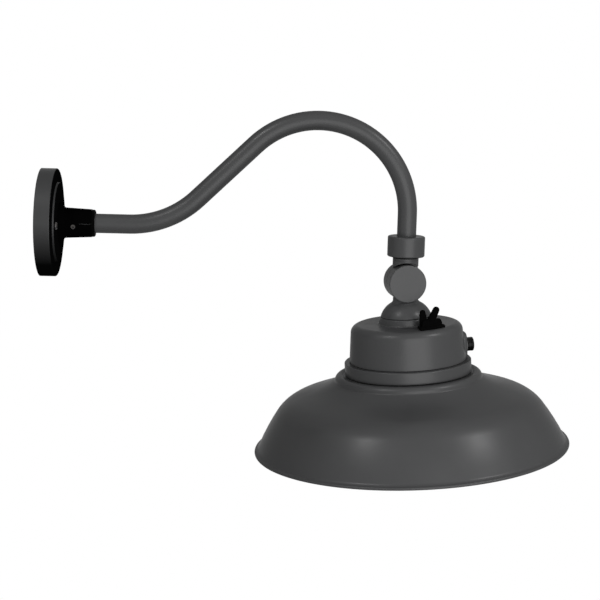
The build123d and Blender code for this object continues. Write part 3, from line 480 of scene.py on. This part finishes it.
def added(name: str) -> bpy.types.Object:
    """Names the primitive that was just added and returns it."""
    piece = bpy.context.object
    piece.name = name
    piece.data.name = name
    return piece


def settle(piece: bpy.types.Object) -> None:
    """Moves a piece's own place into its mesh."""
    choose(piece)
    bpy.ops.object.transform_apply(location=True, rotation=True, scale=True)


def block(name: str, size: Vector, centre: Vector) -> bpy.types.Object:
    """A box as the start of a piece.

    Args:
        name: The piece's name.
        size: Its three sides.
        centre: Its middle.

    Returns:
        The box.
    """
    deselect()
    bpy.ops.mesh.primitive_cube_add(size=1, location=centre)
    piece = added(name)
    piece.scale = size
    settle(piece)
    return piece


def rod(name: str, radius: float, depth: float, centre: Vector, sides: int = 48) -> bpy.types.Object:
    """A round bar along Z as the start of a piece.

    Args:
        name: The piece's name.
        radius: Its radius.
        depth: Its length.
        centre: Its middle.
        sides: How many sides it has round it.

    Returns:
        The bar.
    """
    deselect()
    bpy.ops.mesh.primitive_cylinder_add(vertices=sides, radius=radius, depth=depth, location=centre)
    piece = added(name)
    settle(piece)
    return piece


def pick(piece: bpy.types.Object, kind: Parts, test: Test) -> int:
    """Selects faces, edges or points of a piece and stays in edit mode.

    Args:
        piece: The piece.
        kind: What is selected.
        test: Says yes or no by the part's middle and its normal, or an edge's direction.

    Returns:
        How many were selected.
    """
    if bpy.context.object is not piece or piece.mode != "EDIT":
        choose(piece)
        bpy.ops.object.mode_set(mode="EDIT")
    bpy.ops.mesh.select_mode(type=kind.value)
    bpy.ops.mesh.select_all(action="DESELECT")
    mesh = bmesh.from_edit_mesh(piece.data)
    if kind is Parts.FACES:
        chosen = [face for face in mesh.faces if test(face.calc_center_median(), face.normal)]
    elif kind is Parts.POINTS:
        chosen = [point for point in mesh.verts if test(point.co, point.normal)]
    else:
        ends = [(edge, edge.verts[0].co, edge.verts[1].co) for edge in mesh.edges]
        chosen = [edge for edge, first, last in ends if test((first + last) / 2, (last - first).normalized())]
    for part in chosen:
        part.select_set(True)
    bmesh.update_edit_mesh(piece.data)
    return len(chosen)


def on_circle(radius: float, turn: float, height: float) -> Vector:
    """Point on a circle about Z, from millimetres and radians."""
    return Vector((math.cos(turn) * radius, math.sin(turn) * radius, height)) * MM


def everything(middle: Vector, direction: Vector) -> bool:
    """Test that takes every part."""
    return True


def leave() -> None:
    """Goes back to object mode."""
    bpy.ops.object.mode_set(mode="OBJECT")


def pull(step: Vector) -> None:
    """Extrudes the selected faces by a step."""
    bpy.ops.mesh.extrude_region_move(TRANSFORM_OT_translate={"value": step})


def widen(across: float, along: float, centre: Vector) -> None:
    """Scales the selection in X and Y about a point."""
    bpy.ops.transform.resize(value=(across, along, 1.0), center_override=centre)


def round_edges(piece: bpy.types.Object, test: Test, offset: float, segments: int) -> None:
    """Bevels the edges that a test takes.

    Args:
        piece: The piece.
        test: Says which edges.
        offset: How far the bevel reaches.
        segments: How many faces it has across.
    """
    if pick(piece, Parts.EDGES, test):
        bpy.ops.mesh.bevel(offset=offset, segments=segments, affect="EDGES")
    leave()


def modify(piece: bpy.types.Object, kind: str, **settings: object) -> None:
    """Adds a modifier and applies it.

    Args:
        piece: The object to change.
        kind: The modifier's type.
        settings: The modifier's attributes.
    """
    modifier = piece.modifiers.new(kind.lower(), kind)
    for key, value in settings.items():
        setattr(modifier, key, value)
    choose(piece)
    bpy.ops.object.modifier_apply(modifier=modifier.name)


def cut(piece: bpy.types.Object, tool: bpy.types.Object) -> None:
    """Takes a tool's volume out of a piece and removes the tool."""
    modify(piece, "BOOLEAN", operation="DIFFERENCE", solver="EXACT", object=tool)
    bpy.data.objects.remove(tool)


def copied(piece: bpy.types.Object, place: Matrix) -> bpy.types.Object:
    """A copy of a piece with its own mesh, at a place."""
    twin = piece.copy()
    twin.data = piece.data.copy()
    bpy.context.scene.collection.objects.link(twin)
    twin.matrix_world = place
    settle(twin)
    return twin


def join(pieces: Iterable[bpy.types.Object], name: str) -> bpy.types.Object:
    """Joins several pieces into one named object."""
    pieces = list(pieces)
    deselect()
    for piece in pieces:
        piece.select_set(True)
    bpy.context.view_layer.objects.active = pieces[0]
    bpy.ops.object.join()
    return added(name)


def spun(name: str, outline: Outline, steps: int = 96) -> bpy.types.Object:
    """A closed outline in the XZ plane, drawn point by point and spun about Z.

    Args:
        name: The piece's name.
        outline: Radius and height of each point, in millimetres.
        steps: How many steps the spin has.

    Returns:
        The piece, with its faces turned outwards.
    """
    points = [Vector((radius, 0, height)) * MM for radius, height in outline]
    deselect()
    bpy.ops.mesh.primitive_plane_add(size=MM, location=points[0])
    piece = added(name)
    settle(piece)
    pick(piece, Parts.POINTS, everything)
    bpy.ops.mesh.merge(type="CENTER")
    for before, after in zip(points, [*points[1:], points[0]]):
        bpy.ops.mesh.extrude_vertices_move(TRANSFORM_OT_translate={"value": after - before})
    bpy.ops.mesh.select_all(action="SELECT")
    bpy.ops.mesh.remove_doubles(threshold=MERGE)
    bpy.ops.mesh.spin(steps=steps, angle=math.tau, center=(0, 0, 0), axis=(0, 0, 1))
    bpy.ops.mesh.select_all(action="SELECT")
    bpy.ops.mesh.remove_doubles(threshold=MERGE)
    bpy.ops.mesh.normals_make_consistent(inside=False)
    leave()
    return piece


def finished(
    piece: bpy.types.Object, body: str, nodes: Iterable[str], slot: str, *finishes: bpy.types.Material
) -> None:
    """Args:
        piece: The piece.
        body: The body it rides on.
        nodes: The CAD nodes it stands for.
        slot: The record's material slot; not used.
        finishes: Its materials.
    """
    piece.matrix_world = HEAD.matrix @ piece.matrix_world
    settle(piece)
    bpy.ops.object.shade_smooth_by_angle(angle=SMOOTH_ANGLE)
    dress_missing(piece, finishes)
    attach(piece, body)
    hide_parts(*nodes)
    log.info("%s: %d faces on %s", piece.name, len(piece.data.polygons), body)


def dress_missing(piece: bpy.types.Object, finishes: Iterable[bpy.types.Material]) -> None:
    """Dresses a piece unless its making already gave it materials."""
    if not [finish for finish in piece.data.materials if finish]:
        dress(piece, *finishes)


# --------------------------------------------------------------------------- the CAD nodes' looks
class Dresser:
    """Makes each finish once and gives each CAD node its own, from the record's slots."""

    def __init__(self) -> None:
        """Reads which slot each node has."""
        self.slots = {row["node"]: row["material_slot"] for row in frame["record"]["subparts"]}
        self.made: dict[str, bpy.types.Material] = {}

    def material(self, finish: Finish) -> bpy.types.Material:
        """The material of a finish, made the first time it is asked for."""
        if finish.name not in self.made:
            self.made[finish.name] = finish.make()
        return self.made[finish.name]

    def of_slot(self, slot: str) -> bpy.types.Material:
        """The material of one of the record's slots."""
        return self.material(FINISHES[slot])

    def build(self) -> None:
        """Dresses all the nodes."""
        for name, piece in sorted(frame["nodes"].items()):
            finish = NODE_FINISHES.get(name, FINISHES[self.slots[name]])
            dress(piece, self.material(finish))
            log.info("%s: %s", name, finish.name)


# --------------------------------------------------------------------------- the head's own pieces
@dataclass
class SwitchCover:
    """Black rubber plug over the selectors: a lip, a sloping mound, a leaf-shaped tab and a leaning finger."""

    dresser: Dresser
    centre: Vector = field(default_factory=lambda: Vector((18.4, -44.5, -46.1)) * MM)
    left: float = 14.7 * MM
    right: float = 15.6 * MM
    width: float = 20.0 * MM
    reach: float = 54.7 * MM
    lip: float = 3.0 * MM
    lip_round: float = 1.1 * MM
    corner_round: float = 5.0 * MM
    corner_start: float = 6.0 * MM
    shoulder: float = 1.7 * MM
    mound_shift: float = -1.0 * MM
    mound_steps: tuple[tuple[float, float, float], ...] = ((2.6, 0.98, 0.94), (2.4, 0.94, 0.87), (2.2, 0.86, 0.78))
    tab_offset: float = -9.4 * MM
    tab_sink: float = 4.0 * MM
    tab_height: float = 21.3 * MM
    tab_size: Vector = field(default_factory=lambda: Vector((7.8, 4.2, 8.0)) * MM)
    tab_round: float = 1.0 * MM
    tab_thinning: float = 0.94
    tab_steps: tuple[tuple[float, float, float], ...] = (
        (0.40, 0.93, -0.2), (0.30, 0.86, -0.2), (0.20, 0.74, -0.1), (0.10, 0.55, 0.0),
    )
    finger_root: float = -3.6 * MM
    finger_sink: float = 3.0 * MM
    finger_offset: float = 5.4 * MM
    finger_height: float = 20.2 * MM
    finger_shaft: tuple[tuple[float, float], ...] = (
        (5.2, 0.0), (4.8, 0.30), (4.4, 0.50), (4.1, 0.68), (3.9, 0.82), (3.85, 0.92), (3.75, 1.0),
    )
    finger_tip: tuple[tuple[float, float], ...] = ((3.4, 1.6), (2.6, 2.8), (1.3, 3.5), (0.0, 3.7))
    voxel: float = 0.4 * MM
    kept_share: float = 0.45

    def build(self) -> None:
        """Models the cover in the head's frame and lays it where its CAD node is."""
        cover = join([self.make_foot(), self.make_tab(), self.make_finger()], "switch_cover_rubber")
        modify(cover, "REMESH", mode="VOXEL", voxel_size=self.voxel)
        modify(cover, "SMOOTH", factor=0.5, iterations=5)
        modify(cover, "DECIMATE", ratio=self.kept_share)
        finished(cover, "cover", ["switch_cover"], "black_rubber", self.dresser.of_slot("black_rubber"))

    def make_foot(self) -> bpy.types.Object:
        """The lip, cut from a disc so that its outer side follows the housing, and the mound on it."""
        top = self.centre.z + self.lip
        foot = rod("cover_foot", self.reach, self.lip, Vector((0, 0, self.centre.z + self.lip / 2)), sides=128)
        sides = (
            (Vector((self.centre.x - self.left, 0, 0)), (-1, 0, 0)),
            (Vector((self.centre.x + self.right, 0, 0)), (1, 0, 0)),
            (Vector((0, self.centre.y + self.width / 2, 0)), (0, 1, 0)),
        )
        for point, normal in sides:
            pick(foot, Parts.FACES, everything)
            bpy.ops.mesh.bisect(plane_co=point, plane_no=normal, use_fill=True, clear_outer=True)
            leave()
        corners_from = self.centre.y + self.corner_start
        round_edges(
            foot, lambda middle, along: abs(along.z) > UPRIGHT and middle.y > corners_from, self.corner_round, 6
        )
        round_edges(foot, lambda middle, along: middle.z > top - TOUCH, self.lip_round, 3)
        pick(foot, Parts.FACES, lambda middle, normal: normal.z > 0.99)
        bpy.ops.mesh.inset(thickness=self.shoulder)
        waist = Vector((self.centre.x + self.mound_shift, self.centre.y, top))
        for rise, across, along in self.mound_steps:
            pull(Vector((0, 0, rise * MM)))
            widen(across, along, waist)
        leave()
        return foot

    def make_tab(self) -> bpy.types.Object:
        """The flat upright tab: wide at its root and rounded to a leaf at its end."""
        root = self.centre + Vector((self.tab_offset, 0, self.tab_sink))
        tab = block("cover_tab", self.tab_size, root + Vector((0, 0, self.tab_size.z / 2)))
        rest = self.tab_height - self.tab_sink - self.tab_size.z
        for share, across, shift in self.tab_steps:
            pick(tab, Parts.FACES, self.is_top_of(tab))
            pull(Vector((shift * MM, 0, rest * share)))
            widen(across, self.tab_thinning, Vector((root.x, root.y, 0)))
        leave()
        modify(tab, "BEVEL", width=self.tab_round, segments=3, limit_method="ANGLE")
        return tab

    def make_finger(self) -> bpy.types.Object:
        """The round finger that leans outwards and thins towards its end."""
        root = self.centre + Vector((self.finger_root, 0, self.finger_sink))
        tip = self.centre + Vector((self.finger_offset, 0, self.finger_height))
        length = (tip - root).length / MM
        shaft = [(radius, length * share) for radius, share in self.finger_shaft]
        end = [(radius, length + beyond) for radius, beyond in self.finger_tip]
        finger = spun("cover_finger", [(0, 0), *shaft, *end], steps=32)
        finger.matrix_world = Matrix.Translation(root) @ (tip - root).to_track_quat("Z", "Y").to_matrix().to_4x4()
        settle(finger)
        return finger

    @staticmethod
    def is_top_of(piece: bpy.types.Object) -> Test:
        """Test for the highest face of a piece."""
        if piece.mode == "EDIT":
            leave()
        top = max(polygon.center.z for polygon in piece.data.polygons)
        return lambda middle, normal: middle.z > top - TOUCH and normal.z > 0.5


class Run(Enum):
    """How a stretch of the shade's outline goes."""

    STRAIGHT = "straight"
    ARC = "arc"


@dataclass
class SpunShade:
    """Shade spun from sheet: seat, raised shoulder bead, waist, brow, bell, flare and rolled edge."""

    dresser: Dresser
    seat_radius: float = 57.6
    seat_depth: float = 103.0
    wall: float = 1.2
    edge_radius: float = 1.75
    inner_limit: float = 184.2
    hole_circle: float = 64.5
    hole_radius: float = 1.9
    hole_depth: float = 6.0
    hole_count: int = 6
    around: int = 240
    roll_step: float = math.radians(18)
    roll_points: int = 14
    runs: tuple[tuple[Run, float, float], ...] = (
        (Run.STRAIGHT, 14.9, 0),
        (Run.ARC, 2.0, -30),
        (Run.ARC, 6.0, 30 + 84),
        (Run.STRAIGHT, 0.8, 0),
        (Run.ARC, 2.2, 31.5 - 84),
        (Run.ARC, 109.0, 17.0 - 31.5),
        (Run.STRAIGHT, 19.0, 0),
        (Run.ARC, 45.1, 54.6 - 17.0),
        (Run.ARC, 247.6, 10.0),
        (Run.ARC, 6.0, 21.5 - 64.6),
    )

    def build(self) -> None:
        """Spins the shade and dresses its two sides."""
        shade = spun("shade_spun", self.outline(), steps=self.around)
        self.drill(shade)
        outside = self.dresser.material(BLACK_POWDER)
        inside = self.dresser.material(WHITE_ENAMEL)
        dress(shade, outside, inside)
        limit = -self.inner_limit * MM
        pick(shade, Parts.FACES, lambda middle, normal: normal.z < -0.05 and middle.z > limit)
        shade.active_material_index = 1
        bpy.ops.object.material_slot_assign()
        leave()
        finished(shade, "head", ["shade"], "painted_aluminium")

    def outer_line(self) -> list[tuple[float, float, float]]:
        """Radius, depth and heading of points along the outside, from the seat to the edge."""
        radius, depth, heading = self.seat_radius, self.seat_depth, 0.0
        line = [(radius, depth, heading)]
        for kind, size, angle in self.runs:
            if kind is Run.STRAIGHT:
                steps, length, turn = 3, size / 3, 0.0
            else:
                steps = max(4, round(abs(angle) / 4))
                turn = math.radians(angle) / steps
                length = 2 * size * math.sin(abs(turn) / 2)
            for _ in range(steps):
                heading += turn / 2
                radius += length * math.cos(heading)
                depth += length * math.sin(heading)
                heading += turn / 2
                line.append((radius, depth, heading))
        return line

    def outline(self) -> Outline:
        """The closed outline of the sheet with its rolled edge."""
        line = self.outer_line()
        outer = [(radius, -depth) for radius, depth, _ in line]
        inner = [
            (radius - self.wall * math.sin(heading), -depth - self.wall * math.cos(heading))
            for radius, depth, heading in line
        ]
        end_radius, end_height = outer[-1]
        middle = (end_radius, end_height - self.edge_radius)
        roll = [
            (middle[0] + self.edge_radius * math.sin(turn), middle[1] + self.edge_radius * math.cos(turn))
            for turn in (self.roll_step * (number + 1) for number in range(self.roll_points))
        ]
        clear = [point for point in inner if math.dist(point, middle) > self.edge_radius * 1.05]
        return outer + roll + clear[::-1]

    def drill(self, shade: bpy.types.Object) -> None:
        """Makes the screw holes in the seat."""
        for number in range(self.hole_count):
            place = on_circle(self.hole_circle, math.tau * number / self.hole_count, -self.seat_depth)
            cut(shade, rod("hole_tool", self.hole_radius * MM, self.hole_depth * MM, place, sides=24))


@dataclass
class LightSensor:
    """Photocell: threaded tail, flange, ribbed body and a sunk domed window, along the head's X."""

    dresser: Dresser
    depth: float = 75.75
    flange_x: float = 67.8
    tail_x: float = 53.0
    thread_radius: float = 5.6
    thread_depth: float = 0.45
    thread_pitch: float = 1.2
    tail_radius: float = 5.0
    neck_radius: float = 5.4
    neck_length: float = 1.6
    body_points: tuple[tuple[float, float], ...] = (
        (8.0, 0.0), (8.1, 0.15), (8.1, 1.0), (8.0, 1.3), (7.8, 1.4), (7.8, 4.4), (7.45, 4.7), (7.45, 5.1),
        (7.85, 5.4), (7.85, 6.9), (7.5, 7.6), (6.8, 7.9), (5.3, 7.9), (4.8, 7.3), (4.6, 6.4), (4.6, 1.3), (0.0, 1.3),
    )
    window_radius: float = 4.55
    window_height: float = 4.2
    window_dome: float = 1.2
    window_gap: float = 0.05

    def build(self) -> None:
        """Makes the body and its window."""
        body = self.laid(spun("photocell_shell", self.body_outline(), steps=64))
        finished(body, "head", ["photocell_body"], "sensor_black", self.dresser.of_slot("sensor_black"))
        window = self.laid(spun("photocell_window", self.window_outline(), steps=48))
        finished(window, "head", ["photocell_lens"], "sensor_lens", self.dresser.of_slot("sensor_lens"))

    def laid(self, piece: bpy.types.Object) -> bpy.types.Object:
        """Lays a piece made along Z along the sensor's line."""
        place = Matrix.Translation(Vector((0, 0, -self.depth * MM))) @ Matrix.Rotation(QUARTER, 4, "Y")
        piece.matrix_world = place @ piece.matrix_world
        settle(piece)
        return piece

    def body_outline(self) -> Outline:
        """Outline of the body, from the tail to the mouth and back inside."""
        thread: Outline = []
        height = self.tail_x + self.thread_pitch / 2
        while height < self.flange_x - 2 * self.thread_pitch:
            thread.append((self.thread_radius - self.thread_depth, height))
            thread.append((self.thread_radius, height + self.thread_pitch / 2))
            height += self.thread_pitch
        start = self.flange_x
        neck = [(self.neck_radius, start - self.neck_length), (self.neck_radius, start)]
        body = [(radius, start + along) for radius, along in self.body_points]
        return [(0, self.tail_x), (self.tail_radius, self.tail_x), *thread, *neck, *body]

    def window_outline(self) -> Outline:
        """Outline of the domed window."""
        low = self.flange_x + self.body_points[-1][1] + self.window_gap
        rim = low + self.window_height
        turns = [math.radians(15 * step) for step in range(1, 6)]
        dome = [(self.window_radius * math.cos(turn), rim + self.window_dome * math.sin(turn)) for turn in turns]
        return [(0, low), (self.window_radius, low), (self.window_radius, rim), *dome, (0, rim + self.window_dome)]


@dataclass
class LightChips:
    """The surface-mounted LEDs: a white case with a sunk phosphor window and two tinned feet."""

    dresser: Dresser
    board_depth: float = 94.9
    side: float = 3.2
    height: float = 0.8
    corner: float = 0.25
    frame_width: float = 0.4
    window_depth: float = 0.22
    case_share: float = 0.86
    foot_round: float = 0.04
    foot_shares: tuple[float, float, float] = (0.1, 0.6, 0.35)
    foot_place: float = 0.45
    circles: tuple[tuple[float, int, float], ...] = ((14.0, 6, 0.0), (30.0, 12, 15.0))

    def build(self) -> None:
        """Models one chip and copies it round the board."""
        chip = self.make_chip()
        chips = []
        for radius, count, first in self.circles:
            for number in range(count):
                turn = math.radians(first + 360 * number / count)
                place = on_circle(radius, turn, -self.board_depth)
                chips.append(copied(chip, Matrix.Translation(place) @ Matrix.Rotation(turn, 4, "Z")))
        bpy.data.objects.remove(chip)
        group = join(chips, "led_packages")
        finished(group, "head", ["led_chips"], "led_yellow")

    def make_chip(self) -> bpy.types.Object:
        """One chip that hangs from height 0."""
        side, height = self.side * MM, self.height * MM
        case = block("chip_case", Vector((side * self.case_share, side, height)), Vector((0, 0, -height / 2)))
        round_edges(case, lambda middle, along: abs(along.z) > UPRIGHT, self.corner * MM, 2)
        pick(case, Parts.FACES, lambda middle, normal: normal.z < -UPRIGHT)
        bpy.ops.mesh.inset(thickness=self.frame_width * MM)
        pull(Vector((0, 0, self.window_depth * MM)))
        leave()
        dress(case, self.dresser.of_slot("knob_white"), self.dresser.of_slot("led_yellow"))
        pick(case, Parts.FACES, lambda middle, normal: normal.z < -UPRIGHT and middle.z > -height * 0.9)
        case.active_material_index = 1
        bpy.ops.object.material_slot_assign()
        leave()
        return join([case, self.make_foot(-1), self.make_foot(1)], "chip")

    def make_foot(self, way: int) -> bpy.types.Object:
        """One of the tinned feet, on a side of the case."""
        side, height = self.side * MM, self.height * MM
        across, along, up = self.foot_shares
        size = Vector((side * across, side * along, height * up))
        foot = block("chip_foot", size, Vector((way * side * self.foot_place, 0, -size.z / 2)))
        round_edges(foot, everything, self.foot_round * MM, 1)
        dress(foot, self.dresser.of_slot("zinc_steel"))
        return foot


@dataclass
class WireTerminal:
    """Three-way nylon terminal block with barriers, sunk clamp screws and wire mouths."""

    dresser: Dresser
    centre: Vector = field(default_factory=lambda: Vector((0, 36.0, -88.3)) * MM)
    size: Vector = field(default_factory=lambda: Vector((26.0, 14.0, 13.0)) * MM)
    pitch: float = 8.0 * MM
    edge_round: float = 0.6 * MM
    well: float = 2.5 * MM
    well_depth: float = 5.0 * MM
    mouth: float = 1.7 * MM
    mouth_height: float = 4.0 * MM
    mouth_depth: float = 3.5 * MM
    groove_width: float = 0.8 * MM
    groove_depth: float = 0.8 * MM
    screw_radius: float = 2.2 * MM
    screw_height: float = 1.8 * MM
    screw_round: float = 0.3 * MM
    slot: Vector = field(default_factory=lambda: Vector((6, 0.7, 1.2)) * MM)

    def build(self) -> None:
        """Makes the block and its screws."""
        top = self.centre.z + self.size.z
        body = block("terminal_body", self.size, self.centre + Vector((0, 0, self.size.z / 2)))
        round_edges(body, lambda middle, along: abs(along.z) > UPRIGHT or middle.z > top - TOUCH, self.edge_round, 2)
        screws = []
        for way in (-1, 0, 1):
            place = Vector((self.centre.x + way * self.pitch, self.centre.y, top))
            cut(body, rod("well_tool", self.well, 2 * self.well_depth, place, sides=32))
            for side in (-1, 1):
                cut(body, self.make_mouth_tool(place.x, place.y + side * self.size.y / 2))
            screws.append(self.make_screw(place - Vector((0, 0, self.well_depth))))
        groove = Vector((self.groove_width, 2 * self.size.y, 2 * self.groove_depth))
        for way in (-0.5, 0.5):
            place = Vector((self.centre.x + way * self.pitch, self.centre.y, top))
            cut(body, block("groove_tool", groove, place))
        dress(body, self.dresser.of_slot("terminal_white"))
        whole = join([body, *screws], "terminal_detail")
        finished(whole, "head", ["terminal_block"], "terminal_white")

    def make_mouth_tool(self, across: float, along: float) -> bpy.types.Object:
        """Bar along Y that opens a wire mouth in a side of the block."""
        tool = rod("mouth_tool", self.mouth, 2 * self.mouth_depth, Vector((0, 0, 0)), sides=24)
        place = Matrix.Translation(Vector((across, along, self.centre.z + self.mouth_height)))
        tool.matrix_world = place @ Matrix.Rotation(QUARTER, 4, "X")
        settle(tool)
        return tool

    def make_screw(self, seat: Vector) -> bpy.types.Object:
        """A slotted clamp screw at the foot of its well."""
        middle_up = Vector((0, 0, self.screw_height / 2))
        screw = rod("clamp_screw", self.screw_radius, self.screw_height, seat + middle_up, sides=32)
        top = seat + 2 * middle_up
        round_edges(screw, lambda middle, along: middle.z > top.z - TOUCH, self.screw_round, 2)
        cut(screw, block("slot_tool", self.slot, top))
        dress(screw, self.dresser.of_slot("zinc_steel"))
        return screw


@dataclass
class SelectorKnobs:
    """The two small slide knobs under the rubber cover, with ribs for a fingernail."""

    dresser: Dresser
    centre: Vector = field(default_factory=lambda: Vector((18.4, -41.5, -52.1)) * MM)
    size: Vector = field(default_factory=lambda: Vector((2.6, 2.84, 5.2)) * MM)
    offset: float = 5.3 * MM
    edge_round: float = 0.22 * MM
    groove_width: float = 0.35 * MM
    groove_depth: float = 0.45 * MM

    def build(self) -> None:
        """Makes both knobs."""
        for way, node in ((-1, "power_knob"), (1, "colour_knob")):
            knob = self.make_knob(self.centre + Vector((way * self.offset, 0, 0)), node + "_ribbed")
            finished(knob, node, [node], "knob_white", self.dresser.of_slot("knob_white"))

    def make_knob(self, foot: Vector, name: str) -> bpy.types.Object:
        """One knob standing on a point, with two grooves between its ribs."""
        top = foot.z + self.size.z
        knob = block(name, self.size, foot + Vector((0, 0, self.size.z / 2)))
        round_edges(knob, everything, self.edge_round, 2)
        groove = Vector((self.groove_width, 2 * self.size.y, 2 * self.groove_depth))
        for way in (-1, 1):
            cut(knob, block("rib_tool", groove, Vector((foot.x + way * self.size.x / 6, foot.y, top))))
        return knob


@dataclass
class Studio:
    """Camera, floor, lamps and world."""

    position: Vector = field(default_factory=lambda: Vector((0.25197, -1.65044, 0.17903)))
    yaw: float = math.radians(1.22)
    pitch: float = math.radians(-8.93)
    roll: float = math.radians(1.50)
    lens: float = 90.0
    sensor: float = 36.0
    floor_z: float = -1.6
    floor_size: float = 60.0
    world_light: float = 0.08
    lamp_target: Vector = field(default_factory=lambda: Vector((0.44, 0.0, -0.14)))

    def build(self) -> None:
        """Sets up all of the studio."""
        self.add_camera()
        self.add_floor()
        self.add_lamp("key_lamp", azimuth=14, elevation=-2, distance=1.5, size=1.4, power=20)
        self.add_lamp("right_lamp", azimuth=58, elevation=44, distance=2.0, size=0.3, power=12.5)
        self.add_lamp("left_lamp", azimuth=-54, elevation=45, distance=2.0, size=0.3, power=8.5)
        self.set_world()
        bpy.context.scene.view_settings.view_transform = "Standard"

    def add_camera(self) -> None:
        """Places the camera as the photo's was."""
        data = bpy.data.cameras.new("camera")
        data.lens = self.lens
        data.sensor_width = self.sensor
        data.clip_end = 200
        camera = bpy.data.objects.new("camera", data)
        turn = (
            Matrix.Rotation(-self.yaw, 4, "Z")
            @ Matrix.Rotation(QUARTER + self.pitch, 4, "X")
            @ Matrix.Rotation(self.roll, 4, "Z")
        )
        camera.matrix_world = Matrix.Translation(self.position) @ turn
        bpy.context.scene.collection.objects.link(camera)
        bpy.context.scene.camera = camera

    def add_floor(self) -> None:
        """Lays a wide pale floor under the light."""
        deselect()
        bpy.ops.mesh.primitive_plane_add(size=self.floor_size, location=(0, 0, self.floor_z))
        floor = added("floor")
        sheet = Sheet("floor_white")
        lit = sheet.add("BsdfPrincipled", {"Base Color": (0.82, 0.82, 0.82, 1), "Roughness": 0.9})
        plain = sheet.add("Emission", {"Color": WHITE, "Strength": 1.0})
        shows = self.shows_background(sheet)
        mix = sheet.add("MixShader", {0: shows, 1: lit.outputs[0], 2: plain.outputs[0]})
        dress(floor, sheet.finish(mix.outputs[0]))

    def shows_background(self, sheet: Sheet) -> Socket:
        """One for rays that show the background, and nothing for rays that light the object."""
        path = sheet.add("LightPath")
        seen = sheet.maths("MAXIMUM", path.outputs["Is Camera Ray"], path.outputs["Is Glossy Ray"])
        return sheet.maths("MAXIMUM", seen, path.outputs["Is Transmission Ray"])

    def add_lamp(
        self, name: str, azimuth: float, elevation: float, distance: float, size: float, power: float
    ) -> None:
        """Adds a square softbox.

        Args:
            name: The lamp's name.
            azimuth: Degrees to the right of the camera's side.
            elevation: Degrees above the horizon.
            distance: Metres from its target.
            size: Metres across.
            power: Watts.
        """
        data = bpy.data.lights.new(name, "AREA")
        data.shape = "SQUARE"
        data.size = size
        data.energy = power
        around, rise = math.radians(azimuth), math.radians(elevation)
        away = Vector((math.sin(around) * math.cos(rise), -math.cos(around) * math.cos(rise), math.sin(rise)))
        lamp = bpy.data.objects.new(name, data)
        lamp.location = self.lamp_target + away * distance
        lamp.rotation_euler = away.to_track_quat("Z", "Y").to_euler()
        bpy.context.scene.collection.objects.link(lamp)

    def set_world(self) -> None:
        """White where it shows, and a soft grey light elsewhere."""
        sheet = Sheet("studio", world=True)
        light = sheet.add("Background", {"Color": WHITE, "Strength": self.world_light})
        shown = sheet.add("Background", {"Color": WHITE, "Strength": 1.0})
        shows = self.shows_background(sheet)
        mix = sheet.add("MixShader", {0: shows, 1: light.outputs[0], 2: shown.outputs[0]})
        bpy.context.scene.world = sheet.finish(mix.outputs[0])


def main() -> None:
    """Builds the light's looks in order."""
    dresser = Dresser()
    dresser.build()
    deselect()
    for assembly in (SpunShade, SwitchCover, LightSensor, LightChips, WireTerminal, SelectorKnobs):
        assembly(dresser).build()
    Studio().build()


if __name__ == "__main__":
    main()
